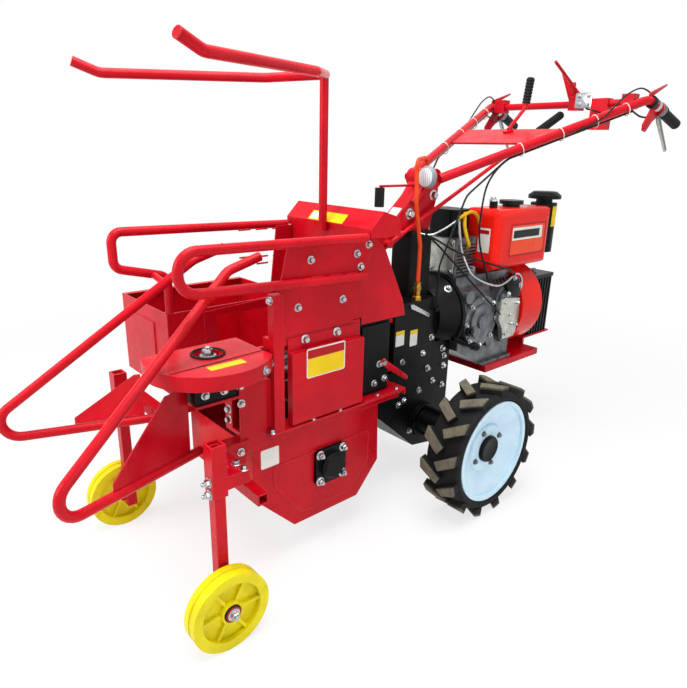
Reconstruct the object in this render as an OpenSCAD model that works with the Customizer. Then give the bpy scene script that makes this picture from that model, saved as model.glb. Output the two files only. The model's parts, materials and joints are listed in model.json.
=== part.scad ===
// Walk-behind single-row corn harvester: a two-wheel diesel tractor, driven
// from behind, carries a picking header with a stalk chopper below it.
// Millimetres. +X is forward, +Y is the machine's left, +Z is up.

/* [Drive wheels] */
// Outside diameter of a drive tyre over its lugs
tyre_d = 400; // [370:5:430]
// Width of a drive tyre
tyre_w = 115; // [95:5:125]
// Height of the tyre's side above the rim's lip, lugs included
tyre_side = 47; // [45:1:65]
// Distance between the middles of the two drive tyres
wheel_track = 605; // [585:5:680]
// Height of a lug above the tyre's casing
lug_h = 22; // [14:1:28]
// Thickness of a lug along the tread
lug_t = 26; // [18:1:34]
// Number of lugs on each side of a tyre
lug_n = 13; // [9:1:16]

/* [Front wheels] */
// Diameter of a front wheel
caster_d = 182; // [160:2:210]
// Width of a front wheel
caster_w = 40; // [30:1:50]
// Distance from the drive axle forward to the front wheels
caster_x = 849; // [830:1:880]
// Distance between the middles of the front wheels
caster_track = 575; // [560:5:640]
// Side of the square leg tube
leg_tube = 25; // [22:1:32]

/* [Header] */
// Outside width over the chopper's side plates
header_w = 300; // [284:2:330]
// Thickness of the sheet metal
sheet = 3; // [2:0.5:4]
// Outside diameter of the guide and rail tubes
bar_d = 22; // [18:1:24]
// Height of the top of the header's long rails
rail_z = 388; // [378:1:394]
// Height of the top of the header's upper rail
top_rail_z = 615; // [608:1:622]
// Height of the upper side walls above that rail
wall_h = 205; // [190:1:207]
// Bend radius of the lower guide bars at their tips
guide_bend = 40; // [34:1:48]
// Distance from the drive axle forward to the corner of the lower guide bars' tips
guide_reach = 1202; // [1185:1:1230]
// Half of the spread of the lower guide bars at their tips
guide_spread = 232; // [215:1:250]

/* [Gathering and picking] */
// Reach of a gathering wheel's finger from its axis
finger_r = 106; // [90:1:108]
// Number of fingers on the gathering wheel
finger_n = 6; // [4:1:8]
// Radius of the gathering cover
cover_r = 140; // [132:1:146]
// Diameter of a stalk roller over its ribs
roller_d = 58; // [50:1:60]
// Distance between the two roller axes
roller_gap = 66; // [66:1:72]

/* [Chopper] */
// Diameter swept by the chopper's knives
rotor_d = 225; // [200:5:235]
// Diameter of the chopper's shaft
rotor_shaft_d = 30; // [25:1:36]
// Rows of knives round the shaft
knife_rows = 4; // [3:1:6]

/* [Ear box] */
// Length of the ear box
box_l = 385; // [340:5:400]
// Height of the ear box
box_h = 222; // [180:2:240]
// Width of the ear box
box_w = 285; // [220:5:300]

/* [Engine] */
// Height of the crankshaft
crank_z = 530; // [522:1:538]
// Radius of the fan shroud
shroud_r = 150; // [130:1:155]
// Length of the fuel tank
tank_l = 306; // [260:2:330]
// Width of the fuel tank
tank_w = 135; // [115:1:150]
// Height of the fuel tank
tank_h = 190; // [150:2:210]

/* [Handles] */
// Outside diameter of the handlebar tubes
handle_d = 28; // [24:1:32]
// Half of the spread of the handlebars at the crossbar
handle_spread = 302; // [260:2:330]
// Height of the handlebars at the crossbar
handle_z = 1198; // [1150:2:1250]
// Distance from the drive axle back to the crossbar
handle_back = 747; // [700:1:800]

/* [Hidden] */
$fn = 48;
// Clearance of a seated fit
fit = 0.3;
// Radial clearance of a turning pin in its bore
run_fit = 0.3;
// Sides of a bent tube, and the angle between its rings in a bend
tube_sides = 16;
bend_step = 14;
// Running gap beside a turning piece
run_gap = 6;
// Gap at a thrust washer
thrust = 0.5;
// How far a cutting shape reaches past the face that it cuts
past = 1;

// Drive axle and wheels
axle_z = tyre_d / 2;
rim_d = tyre_d - 2 * tyre_side;
casing_r = tyre_d / 2 - lug_h;
rim_lip = 7;
rim_t = 5;
rim_lip_t = 4;
bead_r = rim_d / 2 - rim_lip;
bead_half = tyre_w / 2 - rim_lip_t - 4;
bead_h = 8;
shoulder_r = min(11, (casing_r - bead_r - bead_h) / 2 - 0.5);
lug_slant = 32;
lug_root = 6;
axle_d = 36;
pilot_d = 46;
pilot_h = 22;
hub_flange_d = 120;
hub_flange_t = 10;
hub_sleeve_d = 56;
wheel_bolt_d = 16;
wheel_bolt_r = 42;
wheel_bolts = 5;
rim_disc_z = 14;
rim_disc_r = 76;
axle_housing_d = 74;
axle_housing_end = 190;
axle_depth = 58;
gearbox_w = 150;
case_y = gearbox_w / 2;

// Front wheels and legs
caster_z = caster_d / 2;
caster_y = caster_track / 2;
caster_pin_d = 20;
caster_rim = 22;
caster_web = 14;
caster_hub_d = 50;
caster_ribs = 6;
leg_y = caster_y - caster_w / 2 - run_gap - leg_tube / 2;
leg_x = caster_x - 9;
leg_wall = 3;
leg_foot = 20;
leg_spare = 8;
sleeve_wall = 4;
sleeve_out = leg_tube + 2 * fit + 2 * sleeve_wall;
sleeve_z0 = rail_z - 43;
sleeve_z1 = rail_z + 75;

// Header frame
rail = 30;
side_y = header_w / 2;
rail_bot = rail_z - rail;
rail_x0 = 200;
rail_x1 = leg_x - 40;
flange_w = 22;
flange_t = 4;
flange_x1 = 650;
post_x0 = 610;
post_x1 = 638;
post_out = 18;
post_top = 718;
rear_post_x = 375;
top_rail = 25;
top_rail_bot = top_rail_z - top_rail;
stub_x = 740;
stub_z = 302;
stub = 26;
stub_wall = 3;
stub_end = leg_y + 18;
gusset_back = 40;
gusset_front = 60;
gusset_foot = 20;
panel_x1 = 720;
panel_z1 = 520;
shelf_t = 4;
shelf_z = rail_z + shelf_t;
shelf_x1 = 352;

// Gathering wheel, its cover and its drive case
gather_x = 762;
gather_y = 95;
cover_z = 592;
cover_skirt = 33;
cover_in_y = 30;
cover_back = post_x1 + 14;
cover_eye_d = 64;
cover_seam = 1.5;
cover_seam_y = gather_y + 62;
star_z = 567;
star_t = 10;
star_hub_d = 60;
star_hub_h = 18;
gather_shaft_d = 24;
case_top = 553;
case_bot = 500;
case_lid = 12;
case_half_l = 62;
case_in = 38;
case_out = 50;

// Stalk rollers
roller_z = rail_z + 82;
roller_x1 = 690;
roller_shaft_d = 25;
roller_rib = 6;
roller_ribs = 6;
hanger_x = 700;
hanger_t = 10;
hanger_y = 98;
hanger_lug = 20;
journal = 24;

// Chopper
rotor_x = 458;
rotor_z = 240;
chop_front = 692;
chop_nose_z = 221;
chop_keel_x = 570;
chop_keel_z = 97;
chop_rear_x = 353;
chop_back_x = 276;
chop_back_z = 185;
chop_lean = 7;
knife_w = 24;
knife_t = 8;
drum_d = 80;
bearing_half = 50;
bearing_round = 12;

// Header gearbox and hitch
hgb_x0 = 240;
hgb_x1 = 358;
hgb_y0 = -60;
hgb_y1 = 140;
hgb_z1 = 598;
roller_x0 = hgb_x1 + 27;

// Upper walls, hood, chute, mast and fork
wall_top = top_rail_z + wall_h;
wall_front = 606;
wall_rear = 388;
wall_lean = 68;
wall_nose = 76;
wall_step_x = 430;
wall_step_top = 405;
hood_y = side_y + flange_w;
lip_x = 352;
lip_z = wall_top + 22;
crest_x = 312;
crest_z = wall_top + 62;
tail_x = 258;
tail_z = wall_top + 46;
drop_x = 246;
deflector_z = top_rail_z + 25;
chute_in = 20;
chute_z0 = hgb_z1 + fit;
chute_foot_x = 193;
chute_knee = [204, 641];
chute_brow = [278, 783];
mast_x = lip_x + bar_d / 2 + fit;
mast_z0 = wall_top + 2;
fork_z = 1192;

// Ear box
box_x1 = 738;
box_x0 = box_x1 - box_l;
box_y1 = -side_y - sheet;
box_y0 = box_y1 - box_w;
box_z0 = rail_z + 12;
box_z1 = box_z0 + box_h;
box_post = 22;
ear_gap_x0 = 410;
ear_gap_x1 = 600;
ear_gap_z0 = box_z0 + 70;
ear_gap_z1 = box_z1 - 25;

// Tractor gearbox and clutch
case_x1 = 194;
case_x0 = -112;
case_top_z = crank_z - 75;
case_chin_z = 254;
case_belly = [[40, 118], [-60, 102], [-110, 150]];
case_back_z = 240;
clutch_x1 = 150;
clutch_x0 = -34;
clutch_top = crank_z + 70;
bell_r = 125;
bell_neck_r = 92;
bell_flange_r = 128;
bell_flange_t = 12;
column_x0 = -30;
column_x1 = 60;
column_y = 38;
column_top = 800;

// Engine
base_z0 = 318;
base_z1 = 340;
block_x1 = case_x0;
block_x0 = -400;
block_r = 118;
block_y = 105;
block_deck_y = 80;
block_z1 = crank_z + block_r;
block_foot = 12;
block_foot_out = 15;
sump_x = -245;
sump_z = 415;
cover_root = 10;
shroud_x0 = block_x0 - 120;
shroud_bars = 8;
cyl_x0 = -212;
cyl_x1 = block_x1;
cyl_y0 = -35;
cyl_y1 = 68;
cyl_h = 122;
cyl_z1 = block_z1 + cyl_h;
fin_n = 9;
fin_t = 5;
fin_out = 10;
head_h = 22;
muffler_h = 84;
tank_x1 = -219;
tank_y0 = 6;
tank_z0 = block_z1 + 19;
tank_z1 = tank_z0 + tank_h;
tank_x0 = tank_x1 - tank_l;
tank_r = 24;
fan_z = tank_z0 - 4 - shroud_r;
cleaner_r = 45;
cleaner_gap = 30;
cleaner_x = tank_x0 - cleaner_gap - cleaner_r;
cleaner_y = 62;
cleaner_z0 = tank_z0 + 23;
cleaner_h = 170;
battery_x0 = -726;
battery_x1 = -597;
battery_y0 = -137;
battery_y1 = 60;
battery_z0 = 368;
battery_z1 = 595;
battery_ribs = 7;

// Handle base, handlebars and controls
root_x = -20;
root_y = 60;
root_rise = 148;
root_z = column_top + root_rise;
boss_d = 56;
base_half = 24;
base_nose = [[165, column_top - 52], [152, column_top + 6], [100, column_top + 53]];
base_back = [[-60, column_top + 160], [-60, column_top + 105]];
base_chin = [110, column_top - 28];
arm_foot = [44, 18, column_top + 78];
base_neck = [40, column_top + 106];
base_brow = [0, column_top + 145];
arm_d = 30;
grip_d = 34;
grip_l = 110;
grip_end = [-198, 20, -68];
handle_bend = 60;
bar_in = 12;
crossbar_x = -handle_back + bar_in;
crossbar_z = handle_z - 8;
crossbar_d = handle_d - 4;
cable_d = 6;
hose_d = 12;

// Points along the bent tubes, given for the left side
function side(p, s) = [p.x, s * p.y, p.z];
guide_in_y = side_y - rail - bar_d / 2 - fit;
guide_top = [695, 79, 765];
guide_tip_z = 381;
guide_line = [[612, 79, 789], guide_top, [guide_reach, guide_spread, guide_tip_z],
    [rail_x1, guide_in_y, rail_z - 13]];
ear_rail_y = side_y + sheet + bar_d / 2 + fit;
loop_x = 853;
loop_top = 832;
loop_low = 748;
loop_bend = 40;
rail_end = lip_x + 8;
rail_low_z = 727;
rail_line_left = [[rail_end, ear_rail_y, wall_top + 2], [loop_x, ear_rail_y, loop_top],
    [loop_x, ear_rail_y, loop_low], [rail_end, ear_rail_y, rail_low_z]];
drop_rail_x = box_x1 - sheet - box_post / 2;
drop_rail_z = 716;
drop_bend = 24;
rail_line_right = [[rail_end, -ear_rail_y, wall_top + 2], [loop_x, -ear_rail_y, loop_top],
    [loop_x, -ear_rail_y, loop_low], [drop_rail_x, -ear_rail_y, drop_rail_z],
    [drop_rail_x, -ear_rail_y, box_z1 + fit]];
fork_line = [[mast_x, 4, fork_z], [467, 100, fork_z - 9], [815, 236, fork_z - 20], [868, 250, fork_z]];
fork_bend = 40;
handle_line = [[root_x, root_y, root_z], [-handle_back, handle_spread, handle_z],
    [grip_end.x - handle_back, handle_spread + grip_end.y, handle_z + grip_end.z]];
function on_tube(t) = handle_line[0] + t * (handle_line[1] - handle_line[0]);
handle_dir = unit(handle_line[1] - handle_line[0]);
cable_under = [0, 0, -(handle_d / 2 + cable_d / 2 + fit) / norm([handle_dir.x, handle_dir.y])];
cable_lug = [-20, case_y + 8, 560];
cable_line = [on_tube(0.92) + cable_under, on_tube(0.3) + cable_under, [-120, 86, 900],
    [cable_lug.x, cable_lug.y, 700], cable_lug + [0, 0, 12 + fit]];
cable_bend = 60;
hose_foot = [45, 60, clutch_top + 55];
hose_over = 58;
hose_under = 68;
hose_line = [[root_x, 8, root_z + boss_d / 2 + fit], [root_x, 8, root_z + hose_over],
    [66, 48, root_z + hose_over - 6], [66, 54, root_z - hose_under],
    [hose_foot.x, hose_foot.y, 760], hose_foot + [0, 0, fit]];
hose_bend = 22;

function unit(v) = v / norm(v);
function frame(x, y, z, o) = [[x.x, y.x, z.x, o.x], [x.y, y.y, z.y, o.y], [x.z, y.z, z.z, o.z], [0, 0, 0, 1]];

// Turn of a path at its point i, and the arc of radius r that rounds it
function turn_at(p, i) = acos(unit(p[i] - p[i - 1]) * unit(p[i + 1] - p[i]));
function set_back(p, r, i) = r * tan(turn_at(p, i) / 2);
function inward(p, i) = unit(unit(p[i + 1] - p[i]) - unit(p[i] - p[i - 1]) * cos(turn_at(p, i)));
function bend_centre(p, r, i) = p[i] - unit(p[i] - p[i - 1]) * set_back(p, r, i) + inward(p, i) * r;
function bend_points(p, r, i) =
    let(a = turn_at(p, i), n = ceil(a / bend_step), u = unit(p[i] - p[i - 1]))
    [for (k = [0 : n]) bend_centre(p, r, i) + r * (u * sin(k * a / n) - inward(p, i) * cos(k * a / n))];
function tube_path(p, r) = [p[0], for (i = [1 : len(p) - 2]) each bend_points(p, r, i), p[len(p) - 1]];

// Rings of a tube: its heading at each ring and an upward direction carried along without twist
function heading(q, i) =
    i == 0 ? unit(q[1] - q[0])
    : i == len(q) - 1 ? unit(q[i] - q[i - 1])
    : unit(unit(q[i] - q[i - 1]) + unit(q[i + 1] - q[i]));
function carry(v, t) = unit(v - t * (v * t));
function ring_ups(q, i, v) = let(w = carry(v, heading(q, i)))
    i == len(q) - 1 ? [w] : concat([w], ring_ups(q, i + 1, w));
function tube_points(p, r, d, n = tube_sides) =
    let(q = tube_path(p, r), ups = ring_ups(q, 0, [0.1, 0.2, 1]))
    [for (i = [0 : len(q) - 1], k = [0 : n - 1]) let(t = heading(q, i), a = k * 360 / n)
        q[i] + d / 2 * (ups[i] * cos(a) + cross(t, ups[i]) * sin(a))];

// The overall box: guide tips in front, grips behind, left tyre and ear box at the sides
front_x = max([for (v = tube_points(guide_line, guide_bend, bar_d)) v.x]);
grip_dir = unit(handle_line[2] - handle_line[1]);
rear_x = handle_line[2].x - grip_d / 2 * sqrt(1 - pow(grip_dir.x, 2));
mid_x = (front_x + rear_x) / 2;
mid_y = ((wheel_track + tyre_w) / 2 + box_y0) / 2;

module placed() {
    translate([-mid_x, -mid_y, 0]) children();
}

// A round bar from point a to point b
module rod(a, b, d) {
    u = unit(b - a);
    seed = abs(u.z) < 0.9 ? [0, 0, 1] : [1, 0, 0];
    x = unit(cross(seed, u));
    multmatrix(frame(x, cross(u, x), u, a)) cylinder(d = d, h = norm(b - a));
}

// A round tube along the points p with bends of radius r
module bent_tube(p, r, d, n = tube_sides) {
    rings = len(tube_path(p, r));
    walls = [for (i = [0 : rings - 2], k = [0 : n - 1])
        [(i + 1) * n + k, (i + 1) * n + (k + 1) % n, i * n + (k + 1) % n, i * n + k]];
    first = [for (k = [0 : n - 1]) k];
    last = [for (k = [0 : n - 1]) rings * n - 1 - k];
    polyhedron(tube_points(p, r, d, n), concat([first], walls, [last]));
}

// A box from corner a to corner b
module block(a, b) {
    translate(a) cube(b - a);
}

// An upright square tube
module square_post(x, y, z0, z1, out, wall) {
    half = out / 2;
    bore = half - wall;
    difference() {
        block([x - half, y - half, z0], [x + half, y + half, z1]);
        block([x - bore, y - bore, z0 - past], [x + bore, y + bore, z1 + past]);
    }
}

// A flat outline in the X-Z plane, given thickness from y0 to y1
module side_plate(points, y0, y1) {
    translate([0, y1, 0]) rotate([90, 0, 0]) linear_extrude(y1 - y0) polygon(points);
}

// A rectangle with round corners
module round_rect(a, b, r) {
    translate([a.x + r, a.y]) square([b.x - a.x - 2 * r, b.y - a.y]);
    translate([a.x, a.y + r]) square([b.x - a.x, b.y - a.y - 2 * r]);
    for (x = [a.x + r, b.x - r], y = [a.y + r, b.y - r])
        translate([x, y]) circle(r = r);
}

// A box whose edges are rounded along all three axes
module round_block(a, b, r) {
    s = b - a;
    translate(a) intersection() {
        linear_extrude(s.z) round_rect([0, 0], [s.x, s.y], r);
        translate([0, s.y, 0]) rotate([90, 0, 0]) linear_extrude(s.y) round_rect([0, 0], [s.x, s.z], r);
        rotate([90, 0, 90]) linear_extrude(s.x) round_rect([0, 0], [s.y, s.z], r);
    }
}

// Mirrors a left-hand shape to the right when s is -1
module handed(s) {
    mirror([0, s < 0 ? 1 : 0, 0]) children();
}

// Turns the Z axis of a shape outward along Y, on the left (s = 1) or the right (s = -1)
module on_axle(x, y, z, s) {
    handed(s) translate([x, y, z]) rotate([-90, 0, 0]) children();
}

// Turns the Z axis of a shape forward along X
module along_x(x, y, z) {
    translate([x, y, z]) rotate([0, 90, 0]) children();
}

// One side of the header frame: long rail, flange, leg sleeve, side stub and roller hanger
module frame_side(s) {
    half = stub / 2;
    bore = half - stub_wall;
    handed(s) {
        block([rail_x0, side_y - rail, rail_bot], [rail_x1, side_y, rail_z]);
        block([rail_x0, side_y, rail_z - flange_t], [flange_x1, side_y + flange_w, rail_z]);
        square_post(leg_x, leg_y, sleeve_z0, sleeve_z1, sleeve_out, sleeve_wall);
        block([rail_x1 - rail, side_y, rail_bot], [rail_x1, leg_y + sleeve_out / 2, rail_z]);
        block([rail_x1, leg_y - sleeve_out / 2, rail_bot],
            [leg_x - leg_tube / 2 - fit, leg_y + sleeve_out / 2, rail_z]);
        difference() {
            block([stub_x - half, side_y, stub_z - half], [stub_x + half, stub_end, stub_z + half]);
            block([stub_x - bore, side_y + stub_wall, stub_z - bore],
                [stub_x + bore, stub_end + past, stub_z + bore]);
        }
        side_plate([[stub_x - gusset_back, rail_z], [stub_x + gusset_front, rail_z],
            [stub_x + gusset_foot, stub_z - half], [stub_x - gusset_foot, stub_z - half]],
            side_y, side_y + 2 * sheet);
        block([hanger_x, hanger_y - rail, rail_z], [hanger_x + hanger_t, side_y - sheet, rail_z + hanger_t]);
        block([hanger_x, hanger_y - rail, rail_z], [hanger_x + hanger_t, hanger_y, roller_z + hanger_lug]);
        difference() {
            block([hanger_x, roller_gap / 2 - hanger_lug, roller_z - hanger_lug],
                [hanger_x + hanger_t, hanger_y, roller_z + hanger_lug]);
            along_x(hanger_x - past, roller_gap / 2, roller_z)
                cylinder(d = roller_shaft_d + 2 * run_fit, h = hanger_t + 2 * past);
        }
    }
}

// Header frame: both sides, the left posts and upper rail, and the bracket of the gathering drive
module header_frame() {
    color("crimson") {
        frame_side(1);
        frame_side(-1);
        block([post_x0, side_y - flange_t, rail_z], [post_x1, side_y + post_out, post_top]);
        block([rear_post_x - rail / 2, side_y - rail, rail_z],
            [rear_post_x + rail / 2, side_y, top_rail_bot]);
        block([rear_post_x - rail / 2, side_y - top_rail, top_rail_bot], [post_x1, side_y, top_rail_z]);
        block([post_x1, side_y - sheet, rail_z], [panel_x1, side_y, panel_z1]);
        block([post_x0, gather_y - case_in, case_bot - 2 * sheet],
            [gather_x + case_half_l, side_y, case_bot]);
        block([rail_x0, rail - side_y, rail_bot], [rail_x0 + rail, side_y - rail, rail_z]);
    }
}

// Front legs with their axle pins
module leg(s) {
    collar = 10;
    nut = 14;
    color("crimson") {
        square_post(leg_x, s * leg_y, caster_z - leg_foot, sleeve_z1 - leg_spare, leg_tube, leg_wall);
        on_axle(caster_x, leg_y + leg_tube / 2, caster_z, s) {
            cylinder(d = caster_pin_d, h = run_gap + caster_w + sleeve_wall);
            cylinder(d = caster_pin_d + collar, h = run_gap - thrust);
            translate([0, 0, run_gap + caster_w + thrust]) cylinder(d = caster_pin_d + nut, h = sleeve_wall);
        }
    }
}
module leg_left() { leg(1); }
module leg_right() { leg(-1); }

// Solid front wheels: a grooved tread, a thin web, ribs and a hub
module front_wheel(s) {
    rim_in = caster_d / 2 - caster_rim;
    rib_t = 7;
    rib_in = 5;
    groove_d = 8;
    color("gold") on_axle(caster_x, caster_y, caster_z, s) difference() {
        union() {
            rotate_extrude() difference() {
                translate([rim_in, -caster_w / 2]) square([caster_rim, caster_w]);
                translate([caster_d / 2, 0]) circle(d = groove_d);
            }
            cylinder(r = rim_in + past, h = caster_web, center = true);
            cylinder(d = caster_hub_d, h = caster_w, center = true);
            for (i = [0 : caster_ribs - 1]) rotate(i * 360 / caster_ribs)
                translate([caster_hub_d / 2 - past, -rib_t / 2, rib_in - caster_w / 2])
                    cube([rim_in - caster_hub_d / 2 + 2 * past, rib_t, caster_w - 2 * rib_in]);
        }
        cylinder(d = caster_pin_d + 2 * run_fit, h = caster_w + 2 * past, center = true);
    }
}
module front_wheel_left() { front_wheel(1); }
module front_wheel_right() { front_wheel(-1); }

// Lower guide bars that lead the stalks in, each with a stub to its ear rail
function rail_at(a, b, x) = a + (b - a) * (x - a.x) / (b.x - a.x);
join_x = 762;
join_left = rail_at(rail_line_left[2], rail_line_left[3], join_x);
join_right = rail_at(rail_line_right[2], rail_line_right[3], join_x);
module guide_bar(s, join) {
    top = side(rail_at(guide_top, guide_line[2], join_x), s);
    color("crimson") {
        bent_tube([for (p = guide_line) side(p, s)], guide_bend, bar_d);
        rod(top, join - unit(join - top) * (bar_d / 2 + fit), bar_d - 6);
    }
}
module guide_bar_left() { guide_bar(1, join_left); }
module guide_bar_right() { guide_bar(-1, join_right); }

// Snout plates on the return bars; the right one leans outward
module snout(s, reach, rise, step, lean) {
    back = guide_line[3];
    along = unit(guide_line[2] - back);
    upright = unit([0, 0, 1] - along * along.z);
    up = upright * cos(lean) + cross(upright, along) * sin(lean);
    start = (gather_x + case_half_l + run_gap - back.x) / along.x;
    nose = 16;
    seat = sheet / 2 * tan(lean);
    color("crimson") handed(s)
        multmatrix(frame(along, up, cross(along, up), back + upright * (bar_d / 2 + fit)))
            translate([0, 0, -sheet / 2]) linear_extrude(sheet)
                polygon([[start, seat], [reach, seat], [reach, nose], [start + step, rise], [start, rise]]);
}
module snout_left() { snout(s = 1, reach = 230, rise = 150, step = 60, lean = 0); }
module snout_right() { snout(s = -1, reach = 190, rise = 105, step = 15, lean = 34); }

// Upper ear rails
module ear_rail_left() { color("crimson") bent_tube(rail_line_left, loop_bend, bar_d); }
module ear_rail_right() { color("crimson") bent_tube(rail_line_right, drop_bend, bar_d); }

// Cover over the gathering wheel, with an eye above the hub and a seam across its lid
module cover_outline(inset) {
    intersection() {
        translate([gather_x, gather_y]) circle(r = cover_r - inset);
        translate([cover_back + inset, cover_in_y + inset]) square(2 * cover_r);
    }
}
module gathering_cover() {
    ear = 10;
    color("crimson") {
        difference() {
            translate([0, 0, cover_z - cover_skirt]) linear_extrude(cover_skirt) cover_outline(0);
            translate([0, 0, cover_z - cover_skirt - past]) linear_extrude(cover_skirt + past - sheet) {
                cover_outline(sheet);
                intersection() {
                    translate([gather_x, gather_y]) circle(r = cover_r - sheet);
                    translate([cover_back + sheet, cover_in_y - past]) square([2 * cover_r, 2 * sheet]);
                }
            }
            translate([gather_x, gather_y, 0]) cylinder(d = cover_eye_d, h = 2 * cover_z);
            block([cover_back, cover_seam_y, cover_z - 1],
                [gather_x + cover_r, cover_seam_y + cover_seam, cover_z + past]);
        }
        block([post_x1, side_y - rail, cover_z - cover_skirt], [cover_back, side_y - rail + ear, cover_z]);
    }
}

// Gathering wheel with swept fingers
module gathering_wheel() {
    root = 14;
    hook = 16;
    notch = 26;
    edge = 6;
    color("dimgray") translate([gather_x, gather_y, star_z]) difference() {
        union() {
            translate([0, 0, (star_t - star_hub_h) / 2]) cylinder(d = star_hub_d, h = star_hub_h);
            for (i = [0 : finger_n - 1]) rotate(i * 360 / finger_n) linear_extrude(star_t) intersection() {
                polygon([[0, -root], [finger_r - hook, -edge], [finger_r, root], [finger_r - notch, 2 * edge],
                    [0, root]]);
                circle(r = finger_r);
            }
        }
        translate([0, 0, -star_hub_h]) cylinder(d = gather_shaft_d + 2 * run_fit, h = 3 * star_hub_h);
    }
}

// Drive case below the gathering wheel, with its upright shaft
module gathering_case() {
    seat = star_z - (star_hub_h - star_t) / 2 - case_top - thrust;
    color("black") {
        block([gather_x - case_half_l, gather_y - case_in, case_bot],
            [gather_x + case_half_l, gather_y + case_out, case_top - case_lid]);
        translate([gather_x, gather_y, case_top - case_lid]) cylinder(d = 2 * case_in, h = case_lid);
        translate([gather_x, gather_y, case_top]) {
            cylinder(d = gather_shaft_d, h = cover_z - case_top - sheet);
            cylinder(d = gather_shaft_d + 12, h = seat);
        }
    }
}

// Ribbed stalk rollers
module stalk_roller(s) {
    x0 = hgb_x1 - journal;
    rib_t = 8;
    roller_ease = 0.4;
    color("gray") along_x(0, s * roller_gap / 2, roller_z) {
        translate([0, 0, x0]) cylinder(d = roller_shaft_d, h = hanger_x + 2 * hanger_t - x0);
        translate([0, 0, roller_x0]) linear_extrude(roller_x1 - roller_x0) {
            circle(d = roller_d - 2 * roller_rib);
            for (i = [0 : roller_ribs - 1]) rotate(i * 360 / roller_ribs)
                translate([roller_shaft_d / 2, -rib_t / 2])
                    square([roller_d / 2 - roller_ease - roller_shaft_d / 2, rib_t]);
        }
    }
}
module stalk_roller_left() { stalk_roller(1); }
module stalk_roller_right() { stalk_roller(-1); }

// Open ear box on the right side, with a corner post, a rim and a hatch in front
module ear_box() {
    rim_w = 14;
    hatch = 40;
    color("firebrick") {
        difference() {
            block([box_x0, box_y0, box_z0], [box_x1, box_y1, box_z1]);
            block([box_x0 + sheet, box_y0 + sheet, box_z0 + sheet],
                [box_x1 - sheet, box_y1 - sheet, box_z1 + past]);
            block([ear_gap_x0, box_y1 - 2 * sheet, ear_gap_z0], [ear_gap_x1, box_y1 + past, ear_gap_z1]);
        }
        block([box_x1 - sheet - box_post, box_y1 - sheet - box_post, box_z0 + sheet],
            [box_x1 - sheet, box_y1 - sheet, box_z1]);
        block([box_x0 + sheet, box_y0 + sheet, box_z1 - sheet],
            [box_x1 - sheet, box_y0 + sheet + rim_w, box_z1]);
        block([box_x1, box_y0 + hatch, box_z0 + hatch],
            [box_x1 + sheet, box_y1 - 2 * hatch, box_z1 - hatch]);
    }
}

// Upper side walls
module wall_left() {
    chamfer = 19;
    color("crimson") {
        side_plate([[wall_front, top_rail_z], [wall_front, wall_top - wall_nose],
            [wall_front - chamfer, wall_top], [wall_rear - wall_lean, wall_top], [wall_rear, top_rail_z]],
            side_y, side_y + sheet);
        block([wall_rear, side_y - top_rail, top_rail_z], [wall_front, side_y, top_rail_z + sheet]);
    }
}
module wall_right() {
    lap = 10;
    color("crimson") difference() {
        side_plate([[post_x1, rail_z], [post_x1, box_z1 - lap], [wall_step_x, box_z1],
            [wall_step_top, wall_top], [wall_rear - wall_lean, wall_top], [wall_rear, top_rail_z],
            [wall_rear, rail_z]], -side_y - sheet, -side_y);
        block([ear_gap_x0, -side_y - 2 * sheet, ear_gap_z0], [ear_gap_x1, past - side_y, ear_gap_z1]);
    }
}

// Hood across the walls: a bent cap with end cheeks, and the deflector below its lip
module hood() {
    base = wall_top + fit;
    cap = [[lip_x, base], [lip_x, lip_z], [crest_x, crest_z], [tail_x, tail_z], [drop_x, base]];
    under = [[lip_x - sheet, base - past], [lip_x - sheet, lip_z - 1.2], [crest_x, crest_z - 1.4 * sheet],
        [tail_x + 2, tail_z - 1.2 * sheet], [drop_x + 1.05 * sheet, base - past]];
    inner_y = side_y - sheet - 2 * fit;
    color("crimson") {
        difference() {
            side_plate(cap, -hood_y, hood_y);
            side_plate(under, sheet - hood_y, hood_y - sheet);
        }
        block([lip_x - sheet, -inner_y, deflector_z], [lip_x, inner_y, lip_z - 2 * sheet]);
    }
}

// Chute behind the walls, open below and in front
module rear_chute() {
    half = side_y - fit;
    bottom_x = wall_rear + chute_in;
    top_x = wall_rear - wall_lean + chute_in;
    step_x = rear_post_x - rail / 2 - run_gap;
    step_z = top_rail_z + sheet + fit;
    drop = 8;
    color("darkred") difference() {
        side_plate([[bottom_x, step_z], [step_x, step_z], [step_x, chute_z0], [chute_foot_x, chute_z0],
            chute_knee, chute_brow, [top_x - chute_in, wall_top], [top_x, wall_top - drop]], -half, half);
        side_plate([[bottom_x + chute_in, chute_z0 - past], [chute_foot_x + sheet, chute_z0 - past],
            chute_knee + [sheet, 0], chute_brow + [sheet, -sheet], [top_x - chute_in, wall_top - 1.5 * sheet],
            [top_x + chute_in, wall_top - 2 * drop]], sheet - half, half - sheet);
    }
}

// Mast and fork above the throat
module top_fork() {
    color("crimson") {
        translate([mast_x, 0, mast_z0]) cylinder(d = bar_d, h = fork_z + 3 - mast_z0);
        for (s = [1, -1]) bent_tube([for (p = fork_line) side(p, s)], fork_bend, bar_d);
    }
}

// Cover over the roller drive on the left side, hung from a strip
module side_cover() {
    x0 = hgb_x1 + 4;
    x1 = post_x0 - 22;
    z0 = rail_z + run_gap;
    z1 = 572;
    depth = 20;
    strip_in = 14;
    strip_gap = 9;
    color("crimson") {
        difference() {
            block([x0, side_y, z0], [x1, side_y + depth, z1]);
            block([x0 + sheet, side_y - past, z0 + sheet], [x1 - sheet, side_y + depth - sheet, z1 - sheet]);
        }
        block([x0 + strip_in, side_y, z1 - sheet], [x1, side_y + sheet, top_rail_z - strip_gap]);
    }
}

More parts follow.
